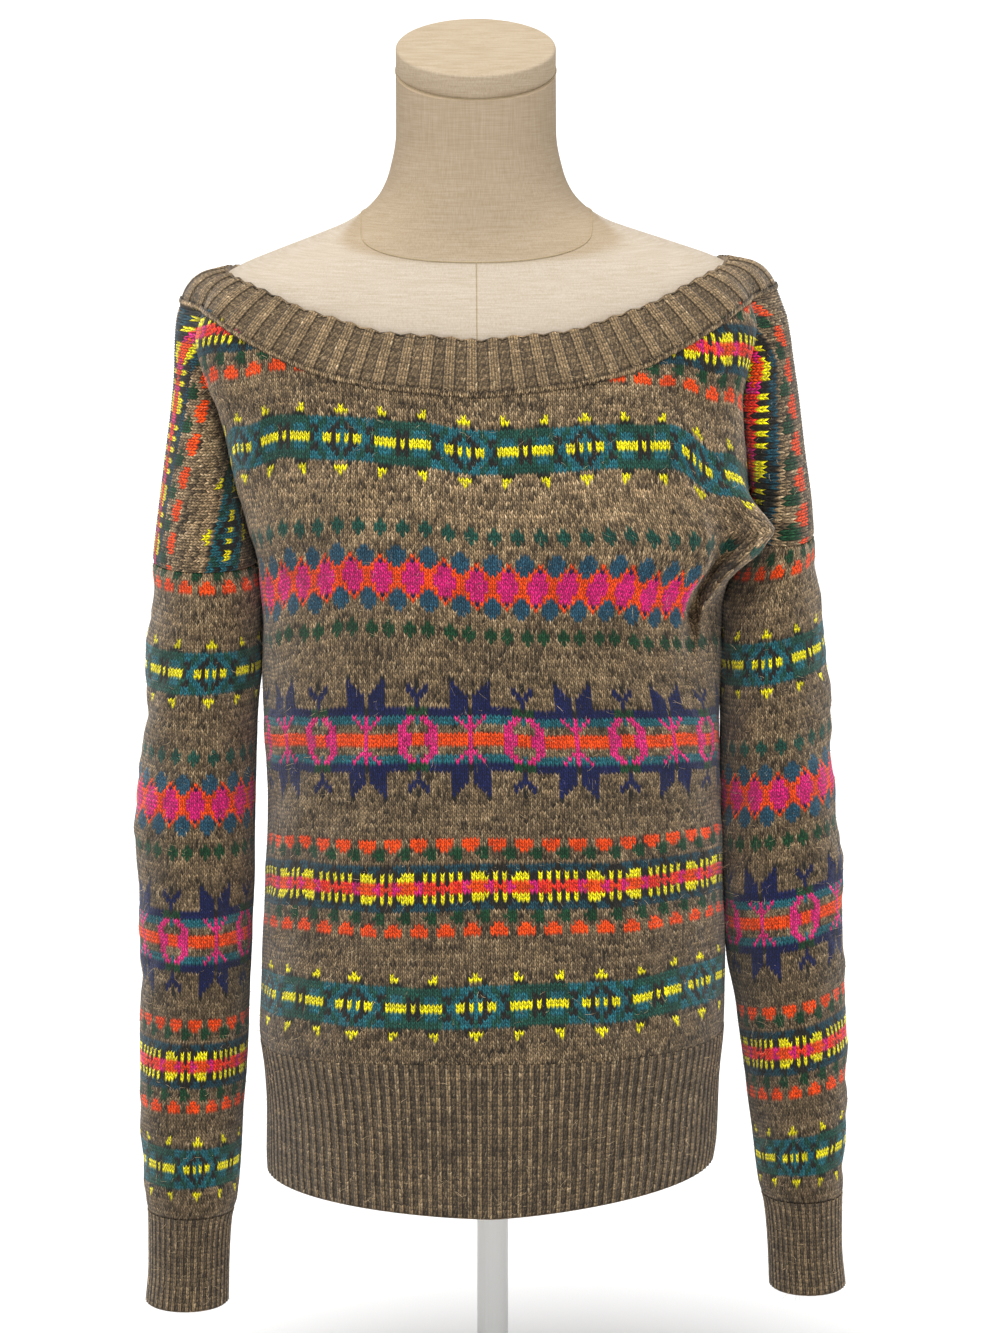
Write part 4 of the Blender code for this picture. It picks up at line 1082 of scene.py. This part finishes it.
# ---- the form and its stand
def simple_object(name, points, faces, material):
    mesh = bpy.data.meshes.new(name)
    mesh.from_pydata([tuple(p) for p in points], [], faces)
    mesh.update()
    mesh.shade_smooth()
    mesh.set_sharp_from_angle(angle=radians(40))
    mesh.materials.append(material)
    return place_object(name, mesh)


def tube_faces(rows, around, closed=False):
    """The faces of a stack of rings. Its ends are covered, unless it is closed to a ring itself."""
    index = numbered(rows, around)
    ends = [] if closed else [index[0, ::-1].tolist(), index[-1].tolist()]
    index = np.concatenate([index, index[:, :1]], 1)
    return quads_of(np.concatenate([index, index[:1]]) if closed else index).tolist() + ends


# The levels of the form's rings: from, to and how many.
FORM_LEVELS = ((0.235, 0.247, 4), (0.255, 0.77, 50), (0.775, 0.971, 70))
FORM_QUARTER = 33  # points along a quarter of a ring


def build_form():
    rings, places = [], evenly(HALF_ROUND_POINTS)
    for level in np.concatenate([np.linspace(*part) for part in FORM_LEVELS]):
        ring = round_body(lambda side, face: even_line(
            form_at(side, face, level + 0 * places, places), FORM_QUARTER))
        tilt = tan(NECK_TILT) * max(level - TILT_START_LEVEL, 0) / (NECK_TOP_LEVEL - TILT_START_LEVEL)
        ring[:, 2] += ring[:, 1] * tilt
        rings.append(ring)
    return simple_object("form_linen", np.concatenate(rings), tube_faces(len(rings), len(rings[0])), LINEN)


NECK_TOP = (Matrix.Translation((float(LEAN("shift", NECK_TOP_LEVEL)), 0, NECK_TOP_LEVEL))
            @ Matrix.Rotation(NECK_TILT, 4, "X"))
CAP_LIFT, CAP_SIDES = 0.0003, 128


def neck_top_ring(radius, height, sides=CAP_SIDES):
    angles = (2 * pi * k / sides for k in range(sides))
    return [NECK_TOP @ Vector((radius * cos(a), radius * sin(a), height)) for a in angles]


def build_cap():
    e = CAP_EDGE
    steps = [(CAP_RADIUS - e * 0.5, 0.0), (CAP_RADIUS - e * 0.12, e * 0.15), (CAP_RADIUS, e * 0.5),
             (CAP_RADIUS, CAP_THICKNESS - e)]
    for angle in (pi / 2 * k / 5 for k in range(1, 6)):
        steps.append((CAP_RADIUS - e + e * cos(angle), CAP_THICKNESS - e + e * sin(angle)))
    steps.append((CAP_RADIUS * 0.5, CAP_THICKNESS + 0.0002))
    points = [point for radius, height in steps for point in neck_top_ring(radius, height + CAP_LIFT)]
    return simple_object("cap_linen_cover", points, tube_faces(len(steps), CAP_SIDES), CAP_LINEN)


SEAM_BEAD = 0.0006
ASKEW = (0.31, 0.17, 0.93)  # a direction that no seam runs in


def build_cord(name, line, radius, closed, around=8):
    """A thin round bead of seam linen along a line of points."""
    ahead = np.roll(line, -1, axis=0) - np.roll(line, 1, axis=0)
    if not closed:
        ahead[0], ahead[-1] = line[1] - line[0], line[-1] - line[-2]
    ahead = unit(ahead)[:, None]
    first = unit(np.cross(ahead, ASKEW))
    angle = 2 * pi * np.arange(around)[:, None] / around
    points = line[:, None] + radius * (first * np.cos(angle) + np.cross(ahead, first) * np.sin(angle))
    return simple_object(name, points.reshape(-1, 3), tube_faces(len(line), around, closed), SEAM_LINEN)


def build_form_seams():
    """The seam round the foot of the neck, the middle seams below it, and a dark bead at the joint under the
    cap, a painted shadow line.
    """
    def neck_line(side, face):
        places = evenly(61)
        level = NECK_SEAM[face] + (NECK_SEAM_SIDE - NECK_SEAM[face]) * np.sin(places * pi / 2) ** 2
        return form_at(side, face, level, places)

    made = [build_cord("neck_seam", round_body(neck_line), SEAM_BEAD, True)]
    for face in FACES:
        line = form_at("left", face, np.linspace(NECK_SEAM[face], 0.240, 160), np.zeros(160))
        made.append(build_cord(face + "_middle_seam", line, SEAM_BEAD * 0.7, False))
    # a bead at the cap's joint; its dark seam linen is painted shadow, the line of shade under the cap's
    # edge
    joint = np.array(neck_top_ring(CAP_RADIUS, 0.0, 96))
    return made + [build_cord("cap_joint_shadow_line", joint, SEAM_BEAD, True)]


# ---- stray fibres
FIBRES_PER_AREA = 8000  # to the square metre
FIBRE_HALF_WIDTH = 0.00009
FIBRE_TAPER = (1.0, 1.0, 0.9, 0.7, 0.3)  # at its even steps, from the root to the tip
FIBRE_ARCH, FIBRE_TIP, FIBRE_BEND = 0.62, 0.93, 0.5  # its share of a half wave, and the most it bends aside
FIBRE_LENGTHS = (0.0025, 0.0085)
FIBRE_RISE = (0.0003, 0.0024)
FIBRE_SHADE = (0.60, 1.40)


def build_fibres(name, source, seed):
    """Loose mohair-like hairs that stand off a knitted piece."""
    polygons = source.data.polygons
    read = {}
    for what, width in (("center", 3), ("normal", 3), ("area", 1)):
        read[what] = np.empty(len(polygons) * width, np.float32)
        polygons.foreach_get(what, read[what])
    areas = read["area"]
    rng = np.random.default_rng(seed)
    number = int(areas.sum() * FIBRES_PER_AREA)
    chosen = rng.choice(len(polygons), number, p=areas / areas.sum())
    root, normal = (read[what].reshape(-1, 3).astype(float)[chosen] for what in ("center", "normal"))
    along = unit(np.cross(normal, rng.normal(size=(number, 3))))
    bend = np.cross(normal, along) * rng.uniform(-FIBRE_BEND, FIBRE_BEND, (number, 1))
    length = rng.uniform(*FIBRE_LENGTHS, (number, 1))
    rise = rng.uniform(*FIBRE_RISE, (number, 1))
    steps = evenly(len(FIBRE_TAPER))
    t = steps[:, None, None]
    lift = rise * np.sin(pi * FIBRE_ARCH * t) / FIBRE_TIP
    spine = root + normal * lift + (along * t + bend * t * t) * length
    width = np.cross(along, normal) * np.array(FIBRE_TAPER)[:, None, None] * FIBRE_HALF_WIDTH
    points = np.stack([spine - width, spine + width], 1).transpose(2, 0, 1, 3)
    quads = quads_of(numbered(number, len(steps), 2))
    wool_and_painted_light_tone = rng.uniform(*FIBRE_SHADE, (number, 1, 1)) * PALE_WOOL * DEPTH
    colours = np.broadcast_to(wool_and_painted_light_tone, (number, 4 * len(steps) - 4, 3)).reshape(-1, 4, 3)
    cells = int(np.ceil(np.sqrt(number)))
    cell = np.arange(number)
    corner = np.stack([cell % cells, cell // cells], -1)[:, None, None, :] / cells
    place = np.stack(np.meshgrid([0.1, 0.9], steps * 0.8 + 0.1), -1)[None] / cells
    uv = (corner + place).reshape(-1, 2)[quads]
    return make_object(name, points.reshape(-1, 3), quads, colours, uv)


def put(piece, node):
    """Let a piece ride with the model, and stand for a node where one is named."""
    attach(piece, "root")
    if node:
        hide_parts(node)


def place_all():
    knitted = [(piece, face, "heather_knit") for face in FACES for piece in build_panel(face)]
    for side in SIDES:
        knitted.append((build_sleeve(side), "sleeve_" + side, "heather_knit"))
        knitted.append((build_cuff(side), "cuff_" + side, "heather_rib"))
    knitted.append((build_hem(), "hem_rib", "heather_rib"))
    knitted.append((build_neckband(), "neckband", "heather_rib"))
    for number, (piece, node, slot) in enumerate(knitted):
        put(piece, node)
        fibres = build_fibres(piece.name + "_fibres", piece, 100 + number)
        put(fibres, None)
    put(build_form(), "form_torso")
    put(build_cap(), "neck_cap")
    for seam in build_form_seams():
        put(seam, None)
    for node in ("pole", "base"):
        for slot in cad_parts[node].material_slots:
            slot.material = PAINT


# ---- stage and light
FLOOR_HALF_SIZE = 60.0
WORLD_STRENGTH = 0.27
KEY_STRENGTH, KEY_ANGLE = 3.8, radians(40)
KEY_FROM = (-0.094, -0.259, 0.961)


def build_stage():
    matt = {"Base Color": STAGE_WHITE, "Roughness": 1.0, "Specular IOR Level": 0.0}
    white = Finish("stage_white").done(matt)
    size = FLOOR_HALF_SIZE
    corners = ((-size, -size, 0), (size, -size, 0), (size, size, 0), (-size, size, 0))
    simple_object("floor", corners, [(0, 1, 2, 3)], white)
    world = bpy.data.worlds.new("studio")
    world.use_nodes = True
    background = world.node_tree.nodes["Background"]
    background.inputs["Color"].default_value = (1, 1, 1, 1)
    background.inputs["Strength"].default_value = WORLD_STRENGTH
    bpy.context.scene.world = world
    data = bpy.data.lights.new("softbox", "SUN")
    data.energy, data.angle = KEY_STRENGTH, KEY_ANGLE
    light = place_object("softbox", data)
    light.rotation_euler = (-Vector(KEY_FROM)).to_track_quat("-Z", "Y").to_euler()


place_all()
build_stage()
